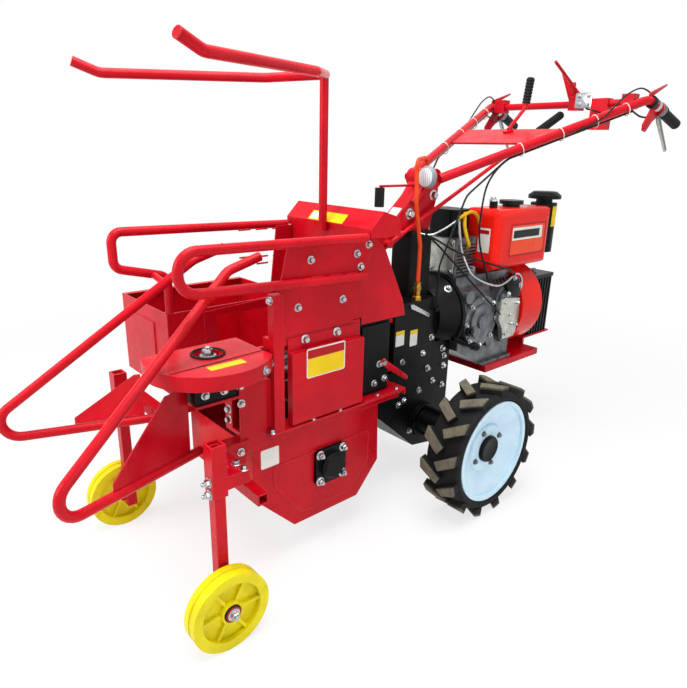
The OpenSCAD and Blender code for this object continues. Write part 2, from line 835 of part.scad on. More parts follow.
// Chopper housing: a keel-shaped box, open above and below, with a raised panel on each side
chop_outline = [[chop_front, rail_bot], [chop_front, chop_nose_z], [chop_keel_x, chop_keel_z],
    [chop_rear_x, chop_keel_z], [chop_back_x, chop_back_z], [chop_back_x + chop_lean, rail_bot]];
chop_inside = [[chop_front - sheet, rail_bot + past], [chop_front - sheet, chop_nose_z + 1.2],
    [chop_keel_x - 1.2, chop_keel_z + sheet], [chop_rear_x + 1.4, chop_keel_z + sheet],
    [chop_back_x + sheet, chop_back_z + 1.2], [chop_back_x + chop_lean + sheet, rail_bot + past]];
panel_front = chop_front - 60;
panel_back = chop_back_x + 40;
panel_top = rail_bot - 70;
panel_keel = chop_keel_z + 30;
panel_in = 20;
panel_up = 15;
chop_panel = [[panel_front, panel_top], [panel_front, chop_nose_z + panel_up],
    [chop_keel_x - panel_in, panel_keel], [chop_rear_x + panel_in, panel_keel],
    [panel_back, chop_back_z + panel_up], [panel_back, panel_top]];
module chopper_housing() {
    sill = 20;
    panel = 2;
    pocket = bearing_half + 1;
    shaft_room = 12;
    color("crimson") difference() {
        union() {
            side_plate(chop_outline, -side_y, side_y);
            for (s = [1, -1]) handed(s) side_plate(chop_panel, side_y - past, side_y + panel);
        }
        side_plate(chop_inside, sheet - side_y, side_y - sheet);
        block([chop_rear_x + sill, sill - side_y, chop_keel_z - past],
            [chop_keel_x - sill, side_y - sill, chop_keel_z + sheet + past]);
        translate([rotor_x, 0, rotor_z]) rotate([90, 0, 0])
            cylinder(d = rotor_shaft_d + shaft_room, h = header_w + 4 * sheet, center = true);
        for (s = [1, -1]) on_axle(rotor_x, side_y, rotor_z, s)
            linear_extrude(sheet) round_rect([-pocket, -pocket], [pocket, pocket], bearing_round);
    }
}

// Chopper rotor with knives
module chopper_rotor() {
    stations = [-90, -45, 0, 45, 90];
    color("dimgray") translate([rotor_x, 0, rotor_z]) rotate([90, 0, 0]) {
        cylinder(d = rotor_shaft_d, h = header_w + 40, center = true);
        cylinder(d = drum_d, h = header_w - 80, center = true);
        for (row = [0 : knife_rows - 1], z = stations) rotate(row * 360 / knife_rows)
            translate([rotor_shaft_d / 2, -knife_t / 2, z - knife_w / 2])
                cube([(rotor_d - rotor_shaft_d) / 2, knife_t, knife_w]);
    }
}

// Square flange bearings of the chopper, each with a round cap
module rotor_bearings() {
    plate = 12;
    cap_d = 74;
    cap_h = 30;
    round_h = 8;
    color("black") for (s = [1, -1]) on_axle(rotor_x, side_y, rotor_z, s) difference() {
        union() {
            linear_extrude(plate)
                round_rect([-bearing_half, -bearing_half], [bearing_half, bearing_half], bearing_round);
            cylinder(d = cap_d, h = cap_h - round_h);
            translate([0, 0, cap_h - round_h]) cylinder(d1 = cap_d, d2 = cap_d - 2 * round_h, h = round_h);
        }
        translate([0, 0, -past]) cylinder(d = rotor_shaft_d + 2 * run_fit, h = cap_h - round_h + past);
    }
}

// Rear shelf that carries the header gearbox
module shelf() {
    lip = 16;
    color("crimson") {
        block([rail_x0, -side_y - flange_w, rail_z], [shelf_x1, side_y + flange_w, shelf_z]);
        for (s = [1, -1]) handed(s)
            block([rail_x0 - sheet, side_y - rail, rail_z - lip], [rail_x0, side_y + flange_w, shelf_z]);
    }
}

// Header gearbox with the roller bores
module header_gearbox() {
    lid = 8;
    lid_in = 10;
    color("black") difference() {
        union() {
            block([hgb_x0, hgb_y0, shelf_z], [hgb_x1, hgb_y1, hgb_z1]);
            block([hgb_x0 + lid_in, hgb_y1, shelf_z + lid_in],
                [hgb_x1 - lid_in, hgb_y1 + lid, hgb_z1 - lid_in]);
        }
        for (s = [1, -1]) along_x(hgb_x1 - journal - thrust, s * roller_gap / 2, roller_z)
            cylinder(d = roller_shaft_d + 2 * run_fit, h = 2 * journal);
    }
}

// Hitch between the header and the tractor: two flanges and a short tube
module hitch() {
    half = 66;
    z0 = shelf_z + run_gap;
    z1 = clutch_top - 40;
    plate = 10;
    tube_d = 110;
    color("crimson") {
        block([case_x1, -half, z0], [case_x1 + plate, half, z1]);
        block([hgb_x0 - plate, hgb_y0, z0], [hgb_x0, half, z1]);
        along_x(case_x1, 0, (z0 + z1) / 2) cylinder(d = tube_d, h = hgb_x0 - case_x1);
        block([clutch_x1, -half, z0], [case_x1, half, z0 + plate]);
        block([clutch_x1, -half, z1 - plate], [case_x1, half, z1]);
    }
}

// Tractor gearbox with its axle housings
module tractor_gearbox() {
    rib_turns = [0, 90, 180, 270];
    rib_t = 8;
    rib_out = 16;
    rib_l = 80;
    color("black") difference() {
        union() {
            side_plate(concat([[case_x1, shelf_z], [case_x1, case_chin_z]], case_belly,
                [[case_x0, case_back_z], [case_x0, case_top_z], [clutch_x1, case_top_z],
                [clutch_x1, shelf_z]]), -case_y, case_y);
            for (s = [1, -1]) on_axle(0, 0, axle_z, s) {
                cylinder(d = axle_housing_d, h = axle_housing_end);
                cylinder(d = axle_housing_d + 40, h = case_y + 14);
                for (a = rib_turns) rotate(a) translate([axle_housing_d / 2 - past, -rib_t / 2, case_y])
                    cube([rib_out, rib_t, rib_l]);
            }
        }
        for (s = [1, -1]) on_axle(0, axle_housing_end - axle_depth - thrust, axle_z, s)
            cylinder(d = axle_d + 2 * run_fit, h = 2 * axle_depth);
    }
}

// Clutch housing: a gear-change box, a bell and its flange on the engine, and the handle column
module clutch_housing() {
    lug = 6;
    lug_h = 12;
    foot_wall = 6;
    color("black") {
        block([clutch_x0, -case_y, case_top_z], [clutch_x1, case_y, clutch_top]);
        intersection() {
            union() {
                along_x(case_x0, 0, crank_z)
                    cylinder(r1 = bell_r, r2 = bell_neck_r, h = clutch_x0 - case_x0 + past);
                along_x(case_x0, 0, crank_z) cylinder(r = bell_flange_r, h = bell_flange_t);
            }
            block([case_x0, -bell_flange_r, case_top_z], [clutch_x1, bell_flange_r, 2 * crank_z]);
        }
        block([column_x0, -column_y, clutch_top], [column_x1, column_y, column_top]);
        for (s = [1, -1]) handed(s)
            block([cable_lug.x - lug, case_y, cable_lug.z], cable_lug + [lug, lug, lug_h]);
        translate([hose_foot.x, hose_foot.y, clutch_top])
            cylinder(d = hose_d + foot_wall, h = hose_foot.z - clutch_top);
    }
}

// Crankcase: a round-topped casting on a foot, with gear covers and the injection pump on its left
module crankcase() {
    length = block_x1 - block_x0;
    foot_y = block_y + block_foot_out;
    gear_x = -200;
    gear_z = crank_z - 25;
    gear_r = 84;
    stud_n = 8;
    stud_r = 9;
    stud_in = 6;
    stud_h = 22;
    // Round covers: place along X, height over the crankshaft, radius, depth
    covers = [[gear_x, -25, gear_r, 20], [gear_x, -25, 58, 26], [gear_x, -25, 24, 32], [-310, 35, 46, 26],
        [-310, 35, 30, 32], [-345, -95, 30, 22], [-264, -105, 20, 18], [-140, 62, 22, 16]];
    pump = [[block_x0 + 6, block_y - cover_root, crank_z - 100], [block_x0 + 56, block_y + 24, crank_z + 70]];
    rib_n = 6;
    rib_t = 6;
    rib_out = 5;
    rib_step = (gear_x - gear_r - block_x0) / rib_n;
    color("silver") difference() {
        union() {
            translate([block_x0, 0, 0]) rotate([90, 0, 90]) linear_extrude(length) {
                translate([0, crank_z]) circle(r = block_r);
                translate([-block_y, base_z1]) square([2 * block_y, crank_z - base_z1]);
                translate([-block_deck_y, crank_z]) square([2 * block_deck_y, block_r]);
                translate([-foot_y, base_z1]) square([2 * foot_y, block_foot]);
            }
            for (c = covers) on_axle(c[0], block_y - cover_root, crank_z + c[1], 1)
                cylinder(r = c[2], h = cover_root + c[3]);
            on_axle(gear_x, block_y - cover_root, gear_z, 1) for (i = [0 : stud_n - 1])
                rotate(i * 360 / stud_n) translate([gear_r - stud_in, 0, 0])
                    cylinder(r = stud_r, h = cover_root + stud_h);
            for (i = [0 : rib_n - 1])
                translate([block_x0 + (i + 0.5) * rib_step, 0, 0]) rotate([90, 0, 90]) linear_extrude(rib_t)
                    intersection() {
                        translate([0, crank_z]) circle(r = block_r + rib_out);
                        translate([-2 * block_r, base_z1]) square([4 * block_r, block_z1 - base_z1]);
                    }
            block(pump[0], pump[1]);
        }
        side_plate([[block_x1 + past, base_z1 - past], [sump_x, base_z1 - past], [block_x1 + past, sump_z]],
            -foot_y - past, foot_y + past);
    }
}

// Finned cylinder and its head
module engine_cylinder() {
    pitch = (cyl_h - head_h - fin_t) / fin_n;
    lift = 0.6;
    color("gray") {
        block([cyl_x0 + fin_out, cyl_y0 + fin_out, block_z1], [cyl_x1, cyl_y1 - fin_out, cyl_z1]);
        for (i = [0 : fin_n - 1])
            block([cyl_x0, cyl_y0, block_z1 + (i + lift) * pitch],
                [cyl_x1 - fin_out, cyl_y1, block_z1 + (i + lift) * pitch + fin_t]);
        block([cyl_x1 - fin_out, cyl_y0, block_z1], [cyl_x1, cyl_y1, cyl_z1]);
        block([cyl_x0, cyl_y0, cyl_z1 - head_h], [cyl_x1, cyl_y1, cyl_z1]);
    }
}

// Exhaust muffler above the cylinder, with its outlet
module muffler() {
    a = [cyl_x0 + 6, cyl_y0 - 25, cyl_z1];
    b = [cyl_x1 - 6, cyl_y1 - 20, cyl_z1 + muffler_h];
    mid = (a.x + b.x) / 2;
    outlet_d = 34;
    outlet_z = cyl_z1 + 50;
    color("black") {
        translate([0, 0, a.z]) linear_extrude(muffler_h) round_rect([a.x, a.y], [b.x, b.y], 20);
        rod([mid, a.y + 10, outlet_z], [mid, a.y - 50, outlet_z], outlet_d);
    }
}

// Round fan shroud at the rear end of the crankshaft, with a barred intake
module fan_shroud() {
    intake_r = shroud_r - 34;
    depth = 30;
    bar_w = 8;
    color("red") along_x(shroud_x0, 0, fan_z) {
        difference() {
            cylinder(r = shroud_r, h = block_x0 - shroud_x0);
            translate([0, 0, -past]) cylinder(r = intake_r, h = depth + past);
        }
        for (i = [0 : shroud_bars - 1]) rotate(i * 360 / shroud_bars)
            translate([0, -bar_w / 2, 4]) cube([intake_r + 4, bar_w, depth]);
        cylinder(r = 34, h = depth + past);
    }
}

// Fuel tank with rounded edges on two feet
module fuel_tank() {
    foot = 40;
    color("orangered") {
        round_block([tank_x0, tank_y0, tank_z0], [tank_x1, tank_y0 + tank_w, tank_z1], tank_r);
        for (x = [tank_x1 - 60 - foot, block_x0 + 20])
            block([x, tank_y0 + 20, block_z1], [x + foot, block_deck_y - 8, tank_z0 + past]);
    }
}

// Filler cap and breather of the tank
module tank_caps() {
    y = tank_y0 + tank_w / 2;
    color("black") {
        translate([tank_x1 - tank_l * 0.52, y, tank_z1]) {
            cylinder(d = 56, h = 10);
            translate([0, 0, 8]) cylinder(d = 78, h = 12);
        }
        translate([tank_x1 - 60, y, tank_z1]) cylinder(d = 26, h = 20);
    }
}

// Air cleaner canister with its rain cap and its elbow to the tank bracket
module air_cleaner() {
    color("black") translate([cleaner_x, cleaner_y, cleaner_z0]) {
        cylinder(r = cleaner_r, h = cleaner_h);
        translate([0, 0, cleaner_h]) cylinder(r = 28, h = 18);
        translate([0, 0, cleaner_h + 14]) cylinder(r = 56, h = 12);
        translate([0, 0, cleaner_h + 26]) cylinder(r1 = 56, r2 = 40, h = 12);
        block([cleaner_r - 6, -20, 60], [cleaner_r + cleaner_gap, 20, 100]);
    }
}

// Battery behind the engine: a ribbed case, a lid and two posts
module battery() {
    rib_t = 7;
    rib_out = 4;
    lid = 14;
    step = (battery_x1 - battery_x0) / battery_ribs;
    color("black") {
        block([battery_x0, battery_y0, battery_z0], [battery_x1, battery_y1, battery_z1 - lid]);
        block([battery_x0 - rib_out, battery_y0 - rib_out, battery_z1 - lid],
            [battery_x1 + rib_out, battery_y1 + rib_out, battery_z1]);
        for (i = [0 : battery_ribs - 1], y = [battery_y0 - rib_out, battery_y1])
            translate([battery_x0 + (i + 0.5) * step - rib_t / 2, y, battery_z0])
                cube([rib_t, rib_out, battery_z1 - battery_z0 - lid]);
        for (y = [battery_y0 + 30, battery_y1 - 30])
            translate([battery_x1 - 26, y, battery_z1]) cylinder(d = 16, h = 16);
    }
}

// Channel under the engine and tray under the battery
module engine_base() {
    edge = 10;
    plate = 6;
    out_y = block_y + 25;
    lip = battery_x1 + 30;
    color("crimson") {
        block([lip, -out_y, base_z0], [sump_x, out_y, base_z1]);
        block([battery_x0 - edge, battery_y0 - edge, battery_z0 - plate],
            [lip + edge, battery_y1 + edge, battery_z0]);
        block([lip, battery_y0 - edge, base_z0], [lip + edge, battery_y1 + edge, battery_z0 - plate]);
    }
}

// Drive tyre: a casing with slanted lugs on both sides of the tread
module tyre(s) {
    half = tyre_w / 2;
    color([0.1, 0.1, 0.1]) on_axle(0, wheel_track / 2, axle_z, s) {
        rotate_extrude() {
            translate([bead_r + fit, fit - bead_half]) square([2 * bead_h, 2 * bead_half - 2 * fit]);
            round_rect([bead_r + bead_h, -half], [casing_r, half], shoulder_r);
        }
        intersection() {
            for (i = [0 : lug_n - 1], e = [1, -1])
                rotate((i + (e > 0 ? 0 : 0.5)) * 360 / lug_n) rotate([e * lug_slant, 0, 0])
                    translate([casing_r - lug_root, -lug_t / 2, e > 0 ? -2 : -tyre_w])
                        cube([2 * lug_h, lug_t, tyre_w + 2]);
            rotate_extrude() translate([casing_r - lug_root, -half]) square([lug_h + lug_root, tyre_w]);
        }
    }
}
module tyre_left() { tyre(1); }
module tyre_right() { tyre(-1); }

// Dished steel rim with lips at both beads
module rim(s) {
    in_r = bead_r - rim_t;
    hole = pilot_d / 2 + fit;
    color("lightblue") on_axle(0, wheel_track / 2, axle_z, s) difference() {
        rotate_extrude() {
            translate([in_r, -bead_half]) square([rim_t, 2 * bead_half]);
            for (z = [-bead_half - rim_lip_t, bead_half])
                translate([in_r, z]) square([rim_t + rim_lip, rim_lip_t]);
            polygon([[hole, rim_disc_z], [rim_disc_r, rim_disc_z], [in_r, bead_half - 2 * rim_t],
                [in_r + past, bead_half - rim_t], [rim_disc_r - 3, rim_disc_z + rim_t],
                [hole, rim_disc_z + rim_t]]);
        }
        for (i = [0 : wheel_bolts - 1]) rotate(i * 360 / wheel_bolts)
            translate([wheel_bolt_r, 0, rim_disc_z - past])
                cylinder(d = wheel_bolt_d + 2 * fit, h = rim_t + 2 * past);
    }
}
module rim_left() { rim(1); }
module rim_right() { rim(-1); }

// Half axle with its wheel flange, pilot and wheel bolts
module hub(s) {
    face = wheel_track / 2 + rim_disc_z;
    inner = axle_housing_end - axle_depth;
    sleeve = axle_housing_end + run_gap;
    stud = 6;
    color("dimgray") on_axle(0, 0, axle_z, s) {
        translate([0, 0, inner]) cylinder(d = axle_d, h = face - inner);
        translate([0, 0, face - hub_flange_t]) cylinder(d = hub_flange_d, h = hub_flange_t);
        translate([0, 0, sleeve]) cylinder(d = hub_sleeve_d, h = face - sleeve);
        translate([0, 0, face - past]) cylinder(d = pilot_d, h = pilot_h + past);
        for (i = [0 : wheel_bolts - 1]) rotate(i * 360 / wheel_bolts)
            translate([wheel_bolt_r, 0, face - past]) cylinder(d = wheel_bolt_d, h = rim_t + stud + past);
    }
}
module hub_left() { hub(1); }
module hub_right() { hub(-1); }

// Wedge-shaped base that carries the handlebars
module handle_base() {
    boss_half = root_y - handle_d / 2;
    color("crimson") {
        side_plate(concat(base_nose, [base_neck, base_brow], base_back,
            [[column_x0, column_top], [column_x1, column_top], base_chin]), -base_half, base_half);
        translate([root_x, 0, root_z]) rotate([90, 0, 0])
            cylinder(d = boss_d, h = 2 * boss_half, center = true);
        for (s = [1, -1])
            rod(side(arm_foot, s), [root_x + 4, s * (boss_half - arm_d / 2), root_z - 8], arm_d);
    }
}

// Handlebar tubes and their crossbar
module handlebars() {
    inset = 14;
    color("crimson") {
        for (s = [1, -1]) bent_tube([for (p = handle_line) side(p, s)], handle_bend, handle_d);
        rod([crossbar_x, inset - handle_spread, crossbar_z],
            [crossbar_x, handle_spread - inset, crossbar_z], crossbar_d);
    }
}

// Rubber grips on the ends of the handlebars
module on_grip(s) {
    a = side(handle_line[2], s);
    u = unit(side(handle_line[1], s) - a);
    y = unit(cross([0, 0, 1], u));
    multmatrix(frame(y, cross(u, y), u, a)) children();
}
module grips() {
    flange_h = 6;
    color("black") for (s = [1, -1]) on_grip(s) difference() {
        union() {
            cylinder(d = grip_d, h = grip_l - flange_h);
            translate([0, 0, grip_l - flange_h]) cylinder(d = grip_d + 8, h = flange_h);
        }
        translate([0, 0, -past]) cylinder(d = handle_d + 2 * fit, h = grip_l + 2 * past);
    }
}

// The plane of the handlebars: x runs back and up along them from their roots
handle_run = norm([handle_back + root_x, handle_z - root_z]);
handle_rise = atan((handle_z - root_z) / (handle_back + root_x));
handle_splay = atan((handle_spread - root_y) / handle_run);
console_a = 315;
console_b = 455;
console_t = 6;
module on_handles() {
    translate([root_x, 0, root_z]) rotate([0, 0, 180]) rotate([0, -handle_rise, 0]) children();
}
function on_plane(x, y, up) = [root_x - x * cos(handle_rise) + up * sin(handle_rise), y,
    root_z + x * sin(handle_rise) + up * cos(handle_rise)];

// Plate between the handlebars that carries the levers
module console() {
    edge = (handle_d / 2 + fit) / cos(handle_splay);
    color("crimson") on_handles() linear_extrude(console_t, center = true)
        polygon([for (p = [[console_a, -1], [console_a, 1], [console_b, 1], [console_b, -1]])
            [p.x, p[1] * (root_y + p.x * tan(handle_splay) - edge)]]);
}

// Gear levers: an upright one on the console, a long one from the base's nose, and a thin reverse rod
upright_run = 430;
upright_foot = on_plane(upright_run, 0, console_t / 2);
upright_top = upright_foot + [-86, 0, 78];
upright_dir = unit([-0.15, 0, 1]);
long_foot = [148, base_half, column_top - 28];
long_run = 515;
long_top = on_plane(long_run, 60, -22);
lever_d = 12;
reverse_d = 7;
reverse_rise = 128;
reverse_z = column_top + reverse_rise;
reverse_tip = [160, 0, reverse_z];
brow_x = base_brow.x + (base_neck.x - base_brow.x) * (base_brow.y - reverse_z + reverse_d / 2)
    / (base_brow.y - base_neck.y);
neck = 14;
module gear_levers() {
    eye = 16;
    foot_h = 6;
    foot_d = 34;
    color("crimson") {
        on_handles() translate([upright_run, 0, console_t / 2]) cylinder(d = foot_d, h = foot_h);
        rod(upright_foot + [0, 0, foot_h], upright_top, lever_d);
        translate(upright_top) sphere(d = lever_d + 4);
        rod(upright_top, upright_top + upright_dir * neck, lever_d + 1);
        on_axle(long_foot.x, long_foot.y, long_foot.z, 1) cylinder(d = 2 * lever_d, h = eye);
        rod(long_foot + [0, eye / 2, 0], long_top, lever_d);
        rod([brow_x + fit, 0, reverse_z], reverse_tip, reverse_d);
    }
}

// Ribbed rubber grips of the levers
module lever_grip(a, u, d, l, ribs) {
    y = unit(cross([0, 1, 0], u));
    pitch = l / ribs;
    multmatrix(frame(y, cross(u, y), u, a)) {
        cylinder(d = d - 5, h = l);
        for (i = [0 : ribs - 1]) translate([0, 0, i * pitch]) cylinder(d = d, h = pitch * 0.6);
    }
}
module lever_grips() {
    lever_grip_d = 27;
    knob_h = 52;
    long_dir = unit(long_top - long_foot);
    color("black") {
        lever_grip(upright_top + upright_dir * (neck + fit), upright_dir, lever_grip_d, l = 80, ribs = 8);
        lever_grip(long_top + long_dir * fit, long_dir, lever_grip_d, l = 130, ribs = 11);
        translate(reverse_tip - [0, 0, knob_h + reverse_d / 2 + fit]) cylinder(d = lever_grip_d, h = knob_h);
    }
}

// Hand levers at the grips
module hand_levers() {
    clamp_z = grip_l + 6;
    clamp_h = 20;
    color("gray") for (s = [1, -1]) on_grip(s) difference() {
        union() {
            translate([0, 0, clamp_z]) cylinder(d = handle_d + 16, h = clamp_h);
            rod([0, -20, clamp_z + 14], [0, -92, 12], 11);
        }
        translate([0, 0, clamp_z - past]) cylinder(d = handle_d + 2 * fit, h = clamp_h + 40);
    }
}

// Brackets on the crossbar for the cables, and the switch box below it
throttle_y = 60;
switch_y = 153;
bracket_h = 26;
module control_brackets() {
    deep = 20;
    outer_y = handle_spread - 55;
    // Each bracket: place along the crossbar, half width, drop below its axis, rise above it
    brackets = [[-outer_y, 20, 20, bracket_h], [outer_y, 20, 20, bracket_h], [throttle_y, 20, 20, bracket_h],
        [switch_y, 29, 84, 16]];
    color("crimson") for (b = brackets) difference() {
        block([crossbar_x - deep, b[0] - b[1], crossbar_z - b[2]],
            [crossbar_x + deep, b[0] + b[1], crossbar_z + b[3]]);
        rod([crossbar_x, b[0] - 2 * b[1], crossbar_z], [crossbar_x, b[0] + 2 * b[1], crossbar_z],
            crossbar_d + 2 * fit);
    }
}

// Throttle lever on the middle bracket
module throttle_lever() {
    foot = [crossbar_x, throttle_y, crossbar_z + bracket_h];
    elbow = foot + [42, 0, 34];
    tip = elbow + [128, 0, 60];
    color("crimson") {
        translate(foot) cylinder(d = 26, h = 8);
        rod(foot + [0, 0, 5], elbow, 12);
        rod(elbow, tip, 10);
        translate(elbow - [0, 8, 0]) rotate([-90, 0, 0]) cylinder(d = 18, h = 16);
    }
}

// Round lamp in front of the left boss
module lamp() {
    x0 = root_x + boss_d / 2 + fit;
    y = 52;
    z = root_z + 5;
    color("silver") {
        along_x(x0 + 10, y, z) cylinder(d = 62, h = 8);
        along_x(x0 + 18, y, z) cylinder(d1 = 62, d2 = 54, h = 6);
        block([x0, 32, z - 7], [x0 + 11, 45, z + 8]);
    }
}

// Control cables along the handlebars, and the oil hose
module cable(s) {
    color("black") bent_tube([for (p = cable_line) side(p, s)], cable_bend, cable_d, 8);
}
module cable_left() { cable(1); }
module cable_right() { cable(-1); }
module hose() {
    color("orangered") bent_tube(hose_line, hose_bend, hose_d, 10);
}

placed() header_frame();
placed() leg_left();
placed() leg_right();
placed() front_wheel_left();
placed() front_wheel_right();
placed() guide_bar_left();
placed() guide_bar_right();
placed() snout_left();
placed() snout_right();
placed() ear_rail_left();
placed() ear_rail_right();
placed() gathering_cover();
placed() gathering_wheel();
placed() gathering_case();
placed() stalk_roller_left();
placed() stalk_roller_right();
placed() ear_box();
placed() wall_left();
placed() wall_right();
placed() hood();
placed() rear_chute();
placed() top_fork();
placed() side_cover();
placed() chopper_housing();
placed() chopper_rotor();
placed() rotor_bearings();
placed() shelf();
placed() header_gearbox();
placed() hitch();
placed() tractor_gearbox();
placed() clutch_housing();
placed() crankcase();
placed() engine_cylinder();
placed() muffler();
placed() fan_shroud();
placed() fuel_tank();
placed() tank_caps();
placed() air_cleaner();
placed() battery();
placed() engine_base();
placed() tyre_left();
placed() tyre_right();
placed() rim_left();
placed() rim_right();
placed() hub_left();
placed() hub_right();
placed() handle_base();
placed() handlebars();
placed() grips();
placed() console();
placed() gear_levers();
placed() lever_grips();
placed() hand_levers();
placed() control_brackets();
placed() throttle_lever();
placed() lamp();
placed() cable_left();
placed() cable_right();
placed() hose();
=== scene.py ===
# %% [markdown]
# # A walk-behind corn harvester, dressed for the camera
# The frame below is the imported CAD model: a two-wheel diesel tractor that
# pushes a one-row picking header. We keep its shapes and add what a shop floor
# adds: paint, castings, rubber, bolts, weld beads, pipes and blank stickers.

# %% Load the frame
import json
import math
import bmesh
import bpy
from mathutils import Matrix, Vector


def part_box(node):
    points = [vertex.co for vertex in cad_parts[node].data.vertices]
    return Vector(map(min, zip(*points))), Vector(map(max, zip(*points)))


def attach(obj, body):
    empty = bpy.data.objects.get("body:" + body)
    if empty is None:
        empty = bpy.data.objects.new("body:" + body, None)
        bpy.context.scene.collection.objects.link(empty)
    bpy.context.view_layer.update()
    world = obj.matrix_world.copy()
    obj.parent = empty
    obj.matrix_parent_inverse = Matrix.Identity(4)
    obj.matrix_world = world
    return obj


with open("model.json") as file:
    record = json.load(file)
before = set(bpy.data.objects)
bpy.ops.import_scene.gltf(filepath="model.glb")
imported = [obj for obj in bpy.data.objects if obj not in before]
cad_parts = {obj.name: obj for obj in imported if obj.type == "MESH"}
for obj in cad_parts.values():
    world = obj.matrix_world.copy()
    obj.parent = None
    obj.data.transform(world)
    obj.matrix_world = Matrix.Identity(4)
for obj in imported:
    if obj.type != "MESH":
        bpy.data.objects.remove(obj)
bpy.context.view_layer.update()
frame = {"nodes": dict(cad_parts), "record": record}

nodes = frame["nodes"]

# %% [markdown]
# ## One set of coordinates
# A maker measures this machine from its drive axle: millimetres forward, to the
# left and up from the ground. The axle's place comes from the two tyres, so
# every position below can be written in those workshop numbers.

# %% Workshop coordinates
left_tyre, right_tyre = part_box("tyre_left"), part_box("tyre_right")
axle = (left_tyre[0] + left_tyre[1] + right_tyre[0] + right_tyre[1]) / 4


def at(x, y, z):
    """Millimetres from the drive axle, ground up, as a point of the frame in metres."""
    return Vector((axle.x + x / 1000, axle.y + y / 1000, z / 1000))


def axes_at(point, x, y, z):
    """A frame at a point, from the directions of its three axes."""
    return Matrix.Translation(point) @ Matrix((x, y, z)).transposed().to_4x4()


def placed(name, data):
    """A new object in the scene, from a mesh, a lamp or a camera."""
    made = bpy.data.objects.new(name, data)
    bpy.context.scene.collection.objects.link(made)
    return made


forward, leftward, skyward = (1, 0, 0), (0, 1, 0), (0, 0, 1)
print("axle at", [round(v, 4) for v in axle])

# %% [markdown]
# ## The camera
# The photograph was taken from the front left, about a metre up, with a short
# lens. Its view was solved from the wheels and rails, which gives the place,
# the turn and the focal length of this camera for a nearly square picture.

# %% Camera
focal_px, picture_px, film_mm = 585.92, 688, 36
sight_m = 60
right = Vector((-0.75172, 0.65910, 0.02236))
up = Vector((-0.19220, -0.25138, 0.94861))
back = Vector((0.63085, 0.70880, 0.31565))
camera = placed("photo_camera", bpy.data.cameras.new("photo_camera"))
camera.matrix_world = axes_at(at(1343.2, 1193.1, 1023.6), right, up, back)
camera.data.sensor_width = film_mm
camera.data.lens = focal_px * film_mm / picture_px
camera.data.clip_end = sight_m
bpy.context.scene.camera = camera
print("lens", round(camera.data.lens, 2), "mm")

# %% [markdown]
# ## Colour and nodes
# Colours are written as sRGB hex values, as a paint chart gives them, and one
# function turns them to the linear values that Blender mixes. Another adds a
# node, sets it up and links it, so each finish reads as a list. Sizes of
# patterns are in millimetres: 1000 over the size is the scale of the noise.

# %% Helpers for finishes
finishes = {}


def linear(hex_colour):
    """An sRGB hex colour as linear values with a full alpha."""
    parts = [int(hex_colour[i:i + 2], 16) / 255 for i in (1, 3, 5)]
    curve = [c / 12.92 if c <= 0.04045 else ((c + 0.055) / 1.055) ** 2.4 for c in parts]
    return (*curve, 1.0)


def wire(tree, made, links=None, values=None):
    """Sets constant values on a node's sockets and links other sockets into it."""
    for key, value in (values or {}).items():
        made.inputs[key].default_value = value
    for key, socket in (links or {}).items():
        tree.links.new(socket, made.inputs[key])


def add(tree, kind, links=None, values=None, stops=(), **settings):
    """Adds a node: settings are its properties, stops a ramp's (position, hex) pairs."""
    made = tree.nodes.new(kind)
    for key, value in settings.items():
        setattr(made, key, value)
    wire(tree, made, links, values)
    for i, (position, colour) in enumerate(stops):
        made.color_ramp.elements[i].position = position
        made.color_ramp.elements[i].color = linear(colour)
    return made


def start(name):
    """Opens a finish: its node tree, its shader and the coordinates of its object."""
    material = finishes[name] = bpy.data.materials.new(name)
    material.use_nodes = True
    tree = material.node_tree
    tree.nodes.clear()
    shader = add(tree, "ShaderNodeBsdfPrincipled")
    add(tree, "ShaderNodeOutputMaterial", {"Surface": shader.outputs[0]})
    return tree, shader, add(tree, "ShaderNodeTexCoord").outputs["Object"]


print("finish helpers ready")

# %% [markdown]
# ## Sprayed enamel on steel
# Most of the machine is folded sheet and tube, sprayed with a thick gloss
# enamel. Up close the film is not flat: it has an orange-peel ripple, it pales
# along edges, partly where it thins and partly as a painted highlight, and dust
# dulls it in patches. One recipe serves the red parts, the brighter tank and
# the black castings. The real ripple and grit are too fine for the render, so
# they are drawn at 1.6 to 4 mm, where they show.

# %% Enamel
cloud_mm, dust_mm, edge_round_mm, peel_deep_mm = 140, 45, 2.2, 0.4


